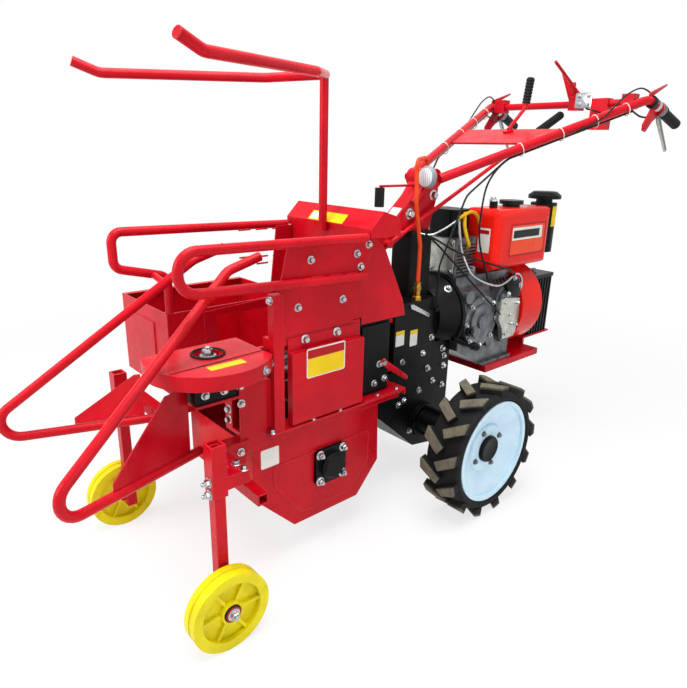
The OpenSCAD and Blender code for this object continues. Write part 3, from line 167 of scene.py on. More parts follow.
def enamel(name, colour, thin_film_and_highlight_colour, shade_colour, rough, peel_mm, peel_height):
    """A sprayed film: cloudy tone, paler edges for thin film and a painted highlight, a ripple,
    and dust that dulls the gloss.
    """
    tree, shader, place = start(name)
    cloud = add(tree, "ShaderNodeTexNoise", {"Vector": place},
                {"Scale": 1000 / cloud_mm, "Detail": 4.0})
    body = add(tree, "ShaderNodeValToRGB", {"Fac": cloud.outputs["Fac"]},
               stops=[(0.35, shade_colour), (0.65, colour)])
    soft = add(tree, "ShaderNodeBevel", values={"Radius": edge_round_mm / 1000}, samples=4)
    flat = add(tree, "ShaderNodeNewGeometry").outputs["Normal"]
    # The colour pales where the rounded normal leaves the flat one: a painted highlight on edges,
    # with some thinning of the film
    agree = add(tree, "ShaderNodeVectorMath", {0: soft.outputs[0], 1: flat},
                operation="DOT_PRODUCT")
    edge = add(tree, "ShaderNodeMapRange", {"Value": agree.outputs["Value"]},
               {"From Min": 0.995, "From Max": 0.90, "To Min": 0.0, "To Max": 0.55})
    paint = add(tree, "ShaderNodeMix", {"Factor": edge.outputs[0], "A": body.outputs[0]},
                {"B": linear(thin_film_and_highlight_colour)}, data_type="RGBA")
    peel = add(tree, "ShaderNodeTexNoise", {"Vector": place},
               {"Scale": 1000 / peel_mm, "Detail": 2.0})
    bump = add(tree, "ShaderNodeBump",
               {"Height": peel.outputs["Fac"], "Normal": soft.outputs[0]},
               {"Strength": peel_height, "Distance": peel_deep_mm / 1000})
    dust = add(tree, "ShaderNodeTexNoise", {"Vector": place},
               {"Scale": 1000 / dust_mm, "Detail": 6.0})
    dull = add(tree, "ShaderNodeMapRange", {"Value": dust.outputs["Fac"]},
               {"From Min": 0.35, "From Max": 0.75, "To Min": rough, "To Max": rough + 0.16})
    wire(tree, shader, {"Base Color": paint.outputs["Result"], "Roughness": dull.outputs[0],
                        "Normal": bump.outputs[0]}, {"IOR": 1.5, "Specular IOR Level": 0.14})


# Each enamel's second colour is its paler edge: thinner film, and a painted highlight
# Crimson alkyd enamel over folded sheet: a wet-looking film, its edges paler where it thins
# and where a highlight is painted
enamel("red_gloss_enamel", "#C90C1D", "#E0505C", "#B3081A", 0.22, 3.0, 0.25)
# The tank's orange-red stoving enamel: baked smoother, so its reflections are cleaner
enamel("tank_gloss_enamel", "#EA1F14", "#F2684F", "#DD1810", 0.16, 4.0, 0.15)
# Black chassis enamel over rough castings: the casting's grit shows through as a satin bump
enamel("black_satin_enamel", "#08090B", "#303236", "#040506", 0.34, 1.6, 0.5)
print("enamels:", list(finishes))

# %% [markdown]
# ## Castings, bare steel and plating
# The engine is sand-cast aluminium: grainy, pale and a little stained. The
# rollers and the gathering wheel are bare rolled steel with fine streaks, the
# bolts are bright zinc plate with a faint mottle, and one fitting is brass. All
# but the steel share a recipe: soft spots in two tones, and a grain if cast.

# %% Metals


def metal(name, dark, light, rough, spot_mm, detail, metallic=1.0, grain=None):
    """A spotted metal; a grain is its size in mm, detail, strength and depth in mm."""
    tree, shader, place = start(name)
    spots = add(tree, "ShaderNodeTexNoise", {"Vector": place},
                {"Scale": 1000 / spot_mm, "Detail": detail})
    tone = add(tree, "ShaderNodeValToRGB", {"Fac": spots.outputs["Fac"]},
               stops=[(0.3, dark), (0.7, light)])
    wire(tree, shader, {"Base Color": tone.outputs[0]},
         {"Metallic": metallic, "Roughness": rough})
    if grain:
        grain_mm, grain_detail, strength, deep_mm = grain
        sand = add(tree, "ShaderNodeTexNoise", {"Vector": place},
                   {"Scale": 1000 / grain_mm, "Detail": grain_detail})
        bump = add(tree, "ShaderNodeBump", {"Height": sand.outputs["Fac"]},
                   {"Strength": strength, "Distance": deep_mm / 1000})
        wire(tree, shader, {"Normal": bump.outputs[0]})


# Sand-cast aluminium: the mould's sand leaves a grain, drawn at 1.6 mm, coarser than the
# real third of a millimetre, so that it shows; oil stains it in soft clouds
metal("sand_cast_aluminium", "#4E5154", "#7F8285", 0.40, 30, 5.0, 0.85, (1.6, 3.0, 0.45, 0.6))
# The same alloy die-cast and tumbled: paler and finer, as on covers and lever blades
metal("pale_cast_aluminium", "#A6A89F", "#CBCDC6", 0.36, 20, 4.0, 0.85, (1.2, 2.0, 0.25, 0.4))

# Rolled bare steel: mill streaks 30 mm long, drawn 1.5 mm wide so that they show, and
# darker than plated parts
streak_mm = (30, 1.5, 1.5)
tree, shader, place = start("rolled_bare_steel")
stretched = add(tree, "ShaderNodeMapping", {"Vector": place},
                {"Scale": [1000 / size for size in streak_mm]})
streak = add(tree, "ShaderNodeTexNoise", {"Vector": stretched.outputs[0]},
             {"Scale": 1.0, "Detail": 3.0})
tone = add(tree, "ShaderNodeValToRGB", {"Fac": streak.outputs["Fac"]},
           stops=[(0.3, "#56575A"), (0.7, "#8E9092")])
wire(tree, shader, {"Base Color": tone.outputs[0]}, {"Metallic": 1.0, "Roughness": 0.38})

# Electroplated zinc: bright, with a mottle of about 4 mm that breaks up its reflections
metal("zinc_plate", "#9DA0A4", "#CDD0D3", 0.27, 4, 2.0)
# Machined brass: warm, slightly tarnished in spots of about 5 mm
metal("brass_fitting", "#8A6526", "#C79A45", 0.33, 5, 2.0)
print("finishes with metals:", len(finishes))

# %% [markdown]
# ## Rubber and plastic
# The drive tyres are black rubber; their lugs carry a film of dry olive dust
# that rubs off elsewhere. The front wheels are cast yellow polyurethane, soiled
# where they roll. Grips, caps and the battery are black moulded pieces. The
# tyre finds its lugs by the distance from the axle, so the dust turns with it.

# %% Tyre rubber
# Vulcanised rubber: matt black with the mould's texture, drawn at 2.5 mm so that it shows,
# and dusted olive-grey only where it meets the field
dust_from_m, dust_full_m = 0.191, 0.198
crumb_mm, texture_mm, texture_deep_mm = 18, 2.5, 0.6
tree, shader, place = start("dusty_tyre_rubber")
spoke = add(tree, "ShaderNodeVectorMath", {0: place}, {1: (axle.x, 0.0, axle.z)},
            operation="SUBTRACT")
radial = add(tree, "ShaderNodeVectorMath", {0: spoke.outputs[0]}, {1: (1.0, 0.0, 1.0)},
             operation="MULTIPLY")
reach = add(tree, "ShaderNodeVectorMath", {0: radial.outputs[0]}, operation="LENGTH")
tread = add(tree, "ShaderNodeMapRange", {"Value": reach.outputs["Value"]},
            {"From Min": dust_from_m, "From Max": dust_full_m, "To Min": 0.02, "To Max": 1.3})
crumbs = add(tree, "ShaderNodeTexNoise", {"Vector": place},
             {"Scale": 1000 / crumb_mm, "Detail": 7.0, "Roughness": 0.7})
patchy = add(tree, "ShaderNodeMath", {0: tread.outputs[0], 1: crumbs.outputs["Fac"]},
             operation="MULTIPLY")
dusted = add(tree, "ShaderNodeMix", {"Factor": patchy.outputs[0]},
             {"A": linear("#111215"), "B": linear("#7A7564")}, data_type="RGBA")
fine = add(tree, "ShaderNodeTexNoise", {"Vector": place},
           {"Scale": 1000 / texture_mm, "Detail": 3.0})
bump = add(tree, "ShaderNodeBump", {"Height": fine.outputs["Fac"]},
           {"Strength": 0.35, "Distance": texture_deep_mm / 1000})
wire(tree, shader, {"Base Color": dusted.outputs["Result"], "Normal": bump.outputs[0]},
     {"Roughness": 0.72, "Specular IOR Level": 0.18})
print("tyre dust from", dust_from_m, "m off the axle")

# %% [markdown]
# ## Moulded and coated pieces
# Plastics, hoses, vinyl film and the rims' lacquer differ in colour and gloss
# more than in kind, so one recipe serves them all: two close tones, a fine grain
# and soil where the piece gets dirty. The real grain is about a tenth of a
# millimetre, so it is drawn at 1 to 4 mm, coarse enough to show.

# %% Moulded pieces
tone_mm, soil_mm, grain_deep_mm = 50, 12, 0.4


def moulded(name, colour, other, rough, grain_mm, grain_height, soil="#3A2E1E", soiled=0.0):
    """A moulded or coated skin: two close tones, a fine grain and a share of soil specks."""
    tree, shader, place = start(name)
    cloud = add(tree, "ShaderNodeTexNoise", {"Vector": place},
                {"Scale": 1000 / tone_mm, "Detail": 4.0})
    tone = add(tree, "ShaderNodeValToRGB", {"Fac": cloud.outputs["Fac"]},
               stops=[(0.35, other), (0.65, colour)])
    speck = add(tree, "ShaderNodeTexNoise", {"Vector": place},
                {"Scale": 1000 / soil_mm, "Detail": 6.0, "Roughness": 0.75})
    spots = add(tree, "ShaderNodeMapRange", {"Value": speck.outputs["Fac"]},
                {"From Min": 0.60, "From Max": 0.72, "To Min": 0.0, "To Max": soiled})
    dirty = add(tree, "ShaderNodeMix", {"Factor": spots.outputs[0], "A": tone.outputs[0]},
                {"B": linear(soil)}, data_type="RGBA")
    grain = add(tree, "ShaderNodeTexNoise", {"Vector": place},
                {"Scale": 1000 / grain_mm, "Detail": 2.0})
    bump = add(tree, "ShaderNodeBump", {"Height": grain.outputs["Fac"]},
               {"Strength": grain_height, "Distance": grain_deep_mm / 1000})
    wire(tree, shader, {"Base Color": dirty.outputs["Result"], "Normal": bump.outputs[0]},
         {"Roughness": rough, "Specular IOR Level": 0.18})


# Cast polyurethane of the front wheels: even yellow with soil rubbed into its pores
moulded("yellow_polyurethane", "#E9DB14", "#D8C80E", 0.42, 2.0, 0.25, "#6B5A20", 0.35)
# Moulded grip rubber: soft black with a dull grain
moulded("black_grip_rubber", "#0E0E0F", "#17171A", 0.62, 1.2, 0.4)
# Injection-moulded ABS of caps, battery and cables: black with a faint spark-eroded grain
moulded("black_moulded_abs", "#0A0B0C", "#131416", 0.38, 1.0, 0.25)
# Extruded rubber hose: signal orange, dull, faintly waved by the die
moulded("orange_hose_rubber", "#DC4A1E", "#C63A14", 0.48, 1.5, 0.2)
# Pale blue lacquer, sprayed on the pressed rims: glossy, and splashed with dry mud
moulded("pale_blue_rim_lacquer", "#D0E8F5", "#C3DFEF", 0.22, 4.0, 0.12, "#6F6A58", 0.25)
# Injection-moulded lamp shell: an even mid grey with a low sheen
moulded("grey_lamp_plastic", "#8E9296", "#7C8084", 0.35, 1.0, 0.2)
# Cast vinyl film of the blank patches: flat colour with a slight print mottle
moulded("yellow_vinyl_patch", "#EFC914", "#E6BF0C", 0.40, 1.0, 0.1)
moulded("white_vinyl_patch", "#E4E4DF", "#D8D8D2", 0.42, 1.0, 0.1)
moulded("orange_vinyl_patch", "#F0502C", "#E64624", 0.40, 1.0, 0.1)
moulded("red_vinyl_patch", "#B01018", "#A40C14", 0.40, 1.0, 0.1)
# Injection-moulded nylon of the cable ties: milky white and slightly waxy
moulded("white_nylon_tie", "#DEDCD2", "#CFCDC2", 0.45, 1.0, 0.1)
# Extruded fuel hose: amber yellow and smooth, so it keeps a long highlight
moulded("yellow_fuel_hose", "#E3B51C", "#CFA012", 0.40, 1.0, 0.1)
print("finishes:", len(finishes))

# %% [markdown]
# ## Painting the CAD nodes
# The record names a material slot for each node, so one table from slot to
# finish paints the whole machine.

# %% Paint the nodes
slot_finish = {
    "red_paint": "red_gloss_enamel", "tank_paint": "tank_gloss_enamel",
    "black_paint": "black_satin_enamel", "black_plastic": "black_moulded_abs",
    "grip_rubber": "black_grip_rubber", "tyre_rubber": "dusty_tyre_rubber",
    "rim_paint": "pale_blue_rim_lacquer", "yellow_plastic": "yellow_polyurethane",
    "cast_aluminium": "sand_cast_aluminium", "bare_steel": "rolled_bare_steel",
    "orange_rubber": "orange_hose_rubber", "lamp_grey": "grey_lamp_plastic",
}
slot_of = {part["node"]: part["material_slot"] for part in frame["record"]["subparts"]}
for name, piece in nodes.items():
    piece.data.materials.clear()
    piece.data.materials.append(finishes[slot_finish[slot_of[name]]])
print("painted", len(nodes), "nodes")

# %% [markdown]
# ## Seating small things
# A bolt or a patch sits on a real face, so we shoot a ray at a CAD node from
# outside and take the point and the normal that it meets. A turned frame at
# that point then carries the small mesh.

# %% Seating helpers
crease_deg = 35


def seat(node, origin, direction):
    """The point and normal where a ray from outside first meets a node."""
    hit, point, normal, _ = nodes[node].ray_cast(origin, Vector(direction).normalized())
    if not hit:
        raise ValueError(f"nothing of {node} lies there: {tuple(origin)}")
    return point, normal


def turned(point, normal, turn=0.0):
    """A frame whose Z axis is the normal, as upright as it can be, turned in degrees."""
    z = Vector(normal).normalized()
    guide = Vector(skyward) if abs(z.z) < 0.9 else Vector(forward)
    x = guide.cross(z).normalized()
    return axes_at(point, x, z.cross(x), z) @ Matrix.Rotation(math.radians(turn), 4, "Z")


def piece_from(bm, name, finish, body="machine", smooth=True):
    """Turns a bmesh into a named piece that rides a body and wears a finish."""
    mesh = bpy.data.meshes.new(name)
    bmesh.ops.recalc_face_normals(bm, faces=bm.faces)
    bm.to_mesh(mesh)
    bm.free()
    piece = placed(name, mesh)
    mesh.materials.append(finishes[finish])
    if smooth:
        mesh.polygons.foreach_set("use_smooth", [True] * len(mesh.polygons))
        mesh.set_sharp_from_angle(angle=math.radians(crease_deg))
    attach(piece, body)


print("pieces crease at", crease_deg, "degrees")

# %% [markdown]
# ## A lathe
# Washers, caps, plugs and rings are all turned parts. Blender's Spin tool could
# make them by hand; in code it is as short to join rings of vertices, and the
# same joining serves bars and pipes later.

# %% Lathe


def skin(bm, rings, closed=False):
    """Joins rings of vertices into a tube, closed on itself or capped at both ends."""
    pairs = zip(rings, rings[1:] + rings[:1]) if closed else zip(rings, rings[1:])
    for low, high in pairs:
        for k in range(len(low)):
            after = (k + 1) % len(low)
            bm.faces.new((low[k], low[after], high[after], high[k]))
    if not closed:
        bm.faces.new(rings[0][::-1])
        bm.faces.new(rings[-1])


def around(sides):
    """Cosine and sine pairs of a full turn."""
    turns = [2 * math.pi * k / sides for k in range(sides)]
    return [(math.cos(a), math.sin(a)) for a in turns]


def lathe(bm, place, profile, sides, closed=False):
    """Turns (radius, height) pairs in mm round a frame's Z axis; closed makes a ring."""
    rings = [[bm.verts.new(place @ (Vector((radius * c, radius * s, height)) / 1000))
              for c, s in around(sides)] for radius, height in profile]
    skin(bm, rings, closed)


def turning(name, place, profile, sides, finish, body="machine", closed=False):
    """A piece that is a single turned part."""
    bm = bmesh.new()
    lathe(bm, place, profile, sides, closed)
    piece_from(bm, name, finish, body)


print("lathe ready")

# %% [markdown]
# ## Bolts
# Hex bolts hold this machine together, and they catch the light all over it.
# Each is a chamfered washer, a six-sided head with a turned-down top and, where
# the thread comes through, its end. The bolts of one group share a mesh.

# %% Bolt maker
next_turn_deg = 17  # how much further each bolt of a group is turned


def bolt(bm, point, normal, across, thread=0.0, turn=0.0):
    """A washer, a hex head in mm across its flats, and a thread end if asked."""
    place = turned(point, normal, turn)
    washer, corner, high = across * 0.84, across / math.sqrt(3), across * 0.6
    lathe(bm, place, [(washer, 0), (washer, 1.2), (across * 0.78, 1.7)], 20)
    lathe(bm, place, [(corner, 1.6), (corner, 1.6 + high * 0.8),
                      (corner * 0.84, 1.6 + high)], 6)
    if thread:
        radius = across * 0.31
        lathe(bm, place, [(radius, 1.5 + high), (radius, high + thread),
                          (radius * 0.7, high + thread + 1.5)], 12)


def bolt_group(name, spots, across, thread=0.0, body="machine", finish="zinc_plate"):
    """One mesh of bolts from (point, normal, turn) spots."""
    bm = bmesh.new()
    for point, normal, turn in spots:
        bolt(bm, point, normal, across, thread, turn)
    piece_from(bm, name, finish, body)


def bolts(name, rays, across, thread=0.0):
    """A group of bolts where (node, origin, direction) rays meet a face."""
    bolt_group(name, [(*seat(*ray), next_turn_deg * i) for i, ray in enumerate(rays)],
               across, thread)


print("bolt maker ready")

# %% Rays from each side
from_left, from_right, from_front, from_above = (0, -1, 0), (0, 1, 0), (-1, 0, 0), (0, 0, -1)
hands = (("left", 1, from_left), ("right", -1, from_right))
aside, ahead = 700, 1200  # mm from the axle, clear of every part


def left_of(node, *points):
    """Rays at a node's left face, from (x, z) workshop positions."""
    return [(node, at(x, aside, z), from_left) for x, z in points]


def right_of(node, *points):
    """Rays at a node's right face, from (x, z) workshop positions."""
    return [(node, at(x, -aside, z), from_right) for x, z in points]


def front_of(node, *points):
    """Rays at a node's front face, from (y, z) workshop positions."""
    return [(node, at(ahead, y, z), from_front) for y, z in points]


def above(node, height, *points):
    """Rays down at a node from a height, at (x, y) workshop positions."""
    return [(node, at(x, y, height), from_above) for x, y in points]


print("rays start", aside, "mm aside")

# %% Header bolts
rotor_x, rotor_z, bearing_half = 458, 240, 38
over_flange = 470
bolts("wall_bolts", left_of("wall_left", (523, 783), (381, 784), (343, 803), (368, 751),
                            (560, 677), (424, 677)), 12)
bolts("strip_bolts", left_of("side_cover", (539, 597), (441, 597)), 14)
bolts("post_bolts", front_of("header_frame", (157, 705), (157, 560)), 12)
bolts("flange_bolts", above("header_frame", over_flange, (225, 161), (300, 161), (434, 161),
                            (520, 161), (641, 161)), 12)
corners = [(rotor_x + bearing_half * i, rotor_z + bearing_half * j)
           for i in (-1, 1) for j in (-1, 1)]
bolts("bearing_bolts_left", left_of("rotor_bearings", *corners), 15, 6)
bolts("bearing_bolts_right", right_of("rotor_bearings", *corners), 15, 6)
bolts("sleeve_bolts", front_of("header_frame", (250, 381), (250, 353), (-250, 381),
                               (-250, 353)), 14, 8)
bolts("bracket_bolts", above("header_frame", over_flange, (782, 231), (781, 259))
      + left_of("header_frame", (725, 364), (716, 480)), 12)
bolts("hanger_bolts", front_of("header_frame", (85, 442), (85, 416), (-85, 442),
                               (-85, 416)), 13)
bolts("gather_bolts", left_of("gathering_cover", (695, 575))
      + left_of("gathering_case", (715, 520), (755, 520), (800, 520)), 12)

# %% Tractor bolts
case_edge = [(110, 420), (125, 330), (93, 290), (-36, 326), (-85, 400), (-85, 300), (20, 430)]
cover_x, cover_z, cover_ring = -200, 505, 78
bolts("case_bolts", left_of("tractor_gearbox", *case_edge), 12)
bolts("box_bolts", left_of("clutch_housing", (135, 580), (-15, 475)), 12)
angles = [math.radians(a) for a in range(0, 360, 45)]
bolts("crankcase_bolts", left_of("crankcase", *(
    (cover_x + cover_ring * math.cos(a), cover_z + cover_ring * math.sin(a)) for a in angles)), 10)
bolts("case_side_bolts", left_of("tractor_gearbox", (-74, 427), (-7, 374), (-86, 366),
                                 (29, 308), (60, 178), (118, 282)), 13)
bolts("lid_bolts", left_of("header_gearbox", (283, 475), (300, 423), (261, 429)), 12)
bolts("bell_bolt", [("clutch_housing", at(-45.5, 131, 689), (-0.39, -0.59, -0.71))], 15, 5)
bolts("gear_bolts_right", right_of("tractor_gearbox", *case_edge), 12)
bolts("handle_bolts", left_of("handle_base", (-40, 900), (60, 850), (110, 800)), 19)

# %% [markdown]
# ## Wheel centres
# A drive wheel is held by four nuts on a pressed plate, lacquered with the rim,
# and a dark cap closes its bore. A front wheel turns on a pin: the nut stays on
# the leg, and a rubber seal turns with the wheel. All are lathed on their
# wheel's axis, at the face that a ray meets beside it.

# %% Wheel centres
axle_up, beside_axle = 200, 60
plate_top, nut_ring = 6.6, 60
front_x, front_z, beside_pin = 849, 91, 22
for side, s, look in hands:
    face, normal = seat("rim_" + side, at(beside_axle, aside * s, axle_up), look)
    face.x, face.z = axle.x, axle.z
    centre = turned(face, normal)
    turning("hub_plate_" + side, centre,
            [(26, 0.1), (74, 0.1), (74, 2.5), (70, plate_top), (26, plate_top)], 48,
            "pale_blue_rim_lacquer", "wheel_" + side, closed=True)
    turning("hub_cap_" + side, centre,
            [(40, 6.7), (40, 14), (38, 18.6), (35.5, 19.6), (33, 18.2), (31, 17.6)], 40,
            "black_satin_enamel", "wheel_" + side)
    spot = Vector((nut_ring / 1000, 0, plate_top / 1000))
    nuts = [centre @ (Matrix.Rotation(math.radians(angle), 4, "Z") @ spot)
            for angle in (25, 115, 205, 295)]
    bolt_group("wheel_nuts_" + side, [(nut, normal, 0.0) for nut in nuts], 11,
               body="wheel_" + side, finish="rolled_bare_steel")
    bolts("axle_nut_" + side, [("leg_" + side, at(front_x, aside * s, front_z), look)], 17, 5)
    face, normal = seat("front_wheel_" + side,
                        at(front_x, aside * s, front_z + beside_pin), look)
    face.z = front_z / 1000
    turning("bearing_seal_" + side, turned(face, normal),
            [(11, 0.1), (20, 0.1), (20, 2.2), (18.5, 3.4), (12.5, 3.4), (11, 2.2)], 32,
            "black_grip_rubber", "front_wheel_" + side, closed=True)

# %% [markdown]
# ## Blank patches
# The real machine carries stickers. Here their places hold plain vinyl patches
# with rounded corners, a third of a millimetre thick, in the same colours. Their
# bands are patches that lie on each other in layers.

# %% Plates and patches
film_thick, first_lift, layer_lift = 0.35, 0.1, 0.4
corner_share = 0.08


def rounded(wide, high, radius):
    """The outline of a rectangle with round corners, in millimetres."""
    corners = [(sx * (wide / 2 - radius), sy * (high / 2 - radius), a)
               for sx, sy, a in ((1, 1, 0), (-1, 1, 90), (-1, -1, 180), (1, -1, 270))]
    turns = [(cx, cy, math.radians(a + t))
             for cx, cy, a in corners for t in (0, 22.5, 45, 67.5, 90)]
    return [(cx + radius * math.cos(a), cy + radius * math.sin(a)) for cx, cy, a in turns]


def plate(name, outline, place, thick, finish, ease=0.0):
    """A plate cut to an outline in mm on a frame's XY plane, with eased edges."""
    bm = bmesh.new()
    skin(bm, [[bm.verts.new(place @ (Vector((x, y, z)) / 1000)) for x, y in outline]
              for z in (0, thick)])
    if ease:
        bmesh.ops.bevel(bm, geom=bm.edges[:], offset=ease / 1000, segments=2,
                        affect="EDGES", profile=0.5)
    piece_from(bm, name, finish, smooth=ease > 0)


def patch(name, node, origin, direction, wide, high, finish, layer):
    """A thin vinyl rectangle on the face that a ray meets, lifted by its layer."""
    point, normal = seat(node, at(*origin), direction)
    place = turned(point + normal * (first_lift + layer_lift * layer) / 1000, normal)
    plate(name, rounded(wide, high, min(wide, high) * corner_share), place, film_thick, finish)


print("film is", film_thick, "mm thick")

# %% Patches
white, yellow = "white_vinyl_patch", "yellow_vinyl_patch"
red, orange = "red_vinyl_patch", "orange_vinyl_patch"
patches = (
    ("cover_patch", "side_cover", (487, aside, 540), from_left, 120, 74, white, 0),
    ("cover_patch_lower", "side_cover", (487, aside, 529), from_left, 114, 46, yellow, 1),
    ("cover_patch_upper", "side_cover", (487, aside, 563), from_left, 114, 21, red, 1),
    ("lid_patch", "gathering_cover", (765, 180, 900), from_above, 24, 84, yellow, 0),
    ("hood_patch", "hood", (700, -9, 854), from_front, 140, 30, yellow, 0),
    ("hood_patch_band", "hood", (700, -58, 854), from_front, 30, 24, white, 1),
    ("chopper_patch", "chopper_housing", (642, aside, 318), from_left, 52, 50, white, 0),
    ("tank_patch_front", "fuel_tank", (200, 92, 760), from_front, 44, 76, white, 0),
    ("tank_patch_band", "fuel_tank", (200, 92, 786), from_front, 36, 12, red, 1),
    ("tank_panel", "fuel_tank", (-391, aside, 758), from_left, 206, 104, red, 0),
    ("tank_panel_middle", "fuel_tank", (-391, aside, 758), from_left, 192, 92, orange, 1),
    ("tank_panel_upper", "fuel_tank", (-386, aside, 778), from_left, 172, 40, white, 2),
    ("tank_panel_bar", "fuel_tank", (-381, aside, 777), from_left, 150, 24,
     "black_moulded_abs", 3),
    ("case_patch_a", "clutch_housing", (126, aside, 497), from_left, 36, 46, white, 0),
    ("case_band_a", "clutch_housing", (126, aside, 514), from_left, 36, 12, yellow, 1),
    ("case_patch_b", "clutch_housing", (66, aside, 488), from_left, 32, 50, white, 0),
    ("case_band_b", "clutch_housing", (66, aside, 507), from_left, 32, 12, yellow, 1),
    ("nose_patch", "handle_base", (169, 0, 925), (-0.67, 0, -0.74), 36, 46, white, 0),
)
for row in patches:
    patch(*row)

# The air cleaner is round, so its patch is a bent strip
cleaner_x, cleaner_y = -600.2, 61.9
strip = ((45.1, 780), (45.6, 780), (45.6, 850), (45.1, 850))
arc = [math.radians(75 + 5 * k) for k in range(13)]
bm = bmesh.new()
skin(bm, [[bm.verts.new(at(cleaner_x + r * math.cos(a), cleaner_y + r * math.sin(a), z))
           for r, z in strip] for a in arc])
piece_from(bm, "cleaner_patch", yellow)
print("patches laid:", len(patches) + 1)

# %% [markdown]
# ## Pipes, weld beads and cable ties
# A pipe, a bead of weld and a cable tie are all a round section carried along a
# line. Blender's curves could do it too, but a small sweep in mesh code also
# lets the radius ripple, which is what makes a weld look like a weld.

# %% Sweep maker
ripple_step = 2.1  # radians of the ripple's wave from one ring to the next


def smooth_line(points, steps=7):
    """Points in millimetres along a smooth curve through the given ones."""
    knots = [Vector(p) for p in points]
    knots = [2 * knots[0] - knots[1], *knots, 2 * knots[-1] - knots[-2]]
    line = []
    for a, b, c, d in zip(knots, knots[1:], knots[2:], knots[3:]):
        for t in (k / steps for k in range(steps)):
            squared = (2 * a - 5 * b + 4 * c - d) * t ** 2
            cubed = (3 * b - a - 3 * c + d) * t ** 3
            line.append((2 * b + (c - a) * t + squared + cubed) / 2)
    return line + [knots[-2]]


def circle_line(centre, normal, wide, high, count=30):
    """Points in mm round an oval about a centre, its height as upright as it can be."""
    side = Vector(skyward).cross(Vector(normal)).normalized()
    rise = Vector(normal).normalized().cross(side)
    return [Vector(centre) + side * wide * c + rise * high * s for c, s in around(count)]


def sweep(bm, line, radius, sides=10, closed=False, ripple=0.0):
    """A round section carried along a line, rippling by a share of its radius."""
    points = [at(*p) for p in line]
    count = len(points)
    rings, side = [], None
    for i, point in enumerate(points):
        before = points[i - 1] if i or closed else point
        after = points[(i + 1) % count] if i + 1 < count or closed else point
        heading = (after - before).normalized()
        side = side or heading.orthogonal()
        side = (side - heading * side.dot(heading)).normalized()
        across = heading.cross(side)
        size = radius / 1000 * (1 + ripple * math.sin(ripple_step * i))
        rings.append([bm.verts.new(point + (side * c + across * s) * size)
                      for c, s in around(sides)])
    skin(bm, rings, closed)


def pipe(name, points, diameter, finish):
    """A pipe or cable through points in millimetres."""
    bm = bmesh.new()
    sweep(bm, smooth_line(points), diameter / 2)
    piece_from(bm, name, finish)


print("sweep maker ready")

# %% [markdown]
# ## Weld beads
# The frame is welded from tube and sheet, and each joint keeps a ridge where the
# wire ran. Painted over, it is the same red with a rippled shine. Short beads
# hold the ear rails to the walls; rings run round the tubes.

# %% Weld beads
rail_start, rail_half = 360, 9.5
run_radius, ring_radius, bead_ripple = 2.6, 2.4, 0.22
rail_beads = ((822 - rail_half, 0.02), (727 + rail_half, 0.0426), (727 - rail_half, 0.0426))
bm = bmesh.new()
beads = 0
for _, s, _ in hands:
    for x in (378, 432, 486):
        for z, slope in rail_beads:
            rise = (x - rail_start) * slope
            run = [(x + 2.2 * k, s * 154.6, z + rise) for k in range(17)]
            sweep(bm, run, run_radius, 8, ripple=bead_ripple)
            beads += 1
    for centre, radius in (((-735, 284 * s, 1190), 12.6), ((-20, 24.6 * s, 948), 28.4)):
        ring = circle_line(centre, leftward, radius, radius, 40)
        sweep(bm, ring, ring_radius, 8, closed=True, ripple=bead_ripple)
        beads += 1
    square = [(740 + x, s * 151.6, 302 + z) for x, z in rounded(27, 27, 4)]
    sweep(bm, square, run_radius, 8, closed=True, ripple=0.2)
    beads += 1
piece_from(bm, "weld_beads", "red_gloss_enamel")
print("weld beads:", beads)

# %% [markdown]
# ## Pressed edge and lid seam
# The chopper's side plates are pressed outward, and the bend leaves a soft ridge
# round the raised panel that catches a line of light. The gathering lid is split,
# and a dark rubber strip closes the split.

# %% Pressed edge and seam
panel_line = [(632, 288), (632, 236), (550, 127), (373, 127), (316, 200), (316, 288)]
corner_ease, plate_face = 16, 150.2
ridge = []
for before, corner, after in zip(panel_line[-1:] + panel_line, panel_line,
                                 panel_line[1:] + panel_line[:1]):
    knot = Vector(corner)
    into = knot + (Vector(before) - knot).normalized() * corner_ease
    out = knot + (Vector(after) - knot).normalized() * corner_ease
    ridge += [into.lerp(knot, t).lerp(knot.lerp(out, t), t) for t in (0, 0.25, 0.5, 0.75, 1)]
for side, s, _ in hands:
    bm = bmesh.new()
    sweep(bm, [(v.x, s * plate_face, v.y) for v in ridge], 2.6, closed=True)
    piece_from(bm, "panel_ridge_" + side, "red_gloss_enamel")
bm = bmesh.new()
sweep(bm, [(884 - 23.8 * k, 160.6 - 1.42 * k, 592.1) for k in range(11)], 1.3, 8)
piece_from(bm, "lid_seam", "black_grip_rubber")
print("ridge points:", len(ridge))

# %% [markdown]
# ## The gathering eye
# A dark rubber ring lines the eye in the gathering lid, and a nut holds the
# gathering wheel's shaft below it. Both show from above.

# %% Gathering eye
eye_x, eye_y, over_lid = 762, 95, 900
rim_point, _ = seat("gathering_cover", at(eye_x + 37, eye_y, over_lid), from_above)
turning("eye_ring", turned(at(eye_x, eye_y, rim_point.z * 1000), skyward),
        [(32.3, -2.5), (38.5, 0.1), (38.5, 2.4), (36.5, 3.8), (33.5, 3.8), (32.3, 2.4)], 40,
        "black_grip_rubber", closed=True)
bolts("gather_nut", above("gathering_case", over_lid, (eye_x, eye_y)), 22, 6)
print("eye ring at z", round(rim_point.z * 1000, 1), "mm")

# %% [markdown]
# ## Pipes on the engine
# A steel pipe carries diesel from the pump to the head and another brings the
# spare fuel back, a yellow hose comes from the tank with a second one looped
# beside it, and black cables cross the engine. Each is a smooth line through
# points in workshop numbers, with its ends inside what holds them.

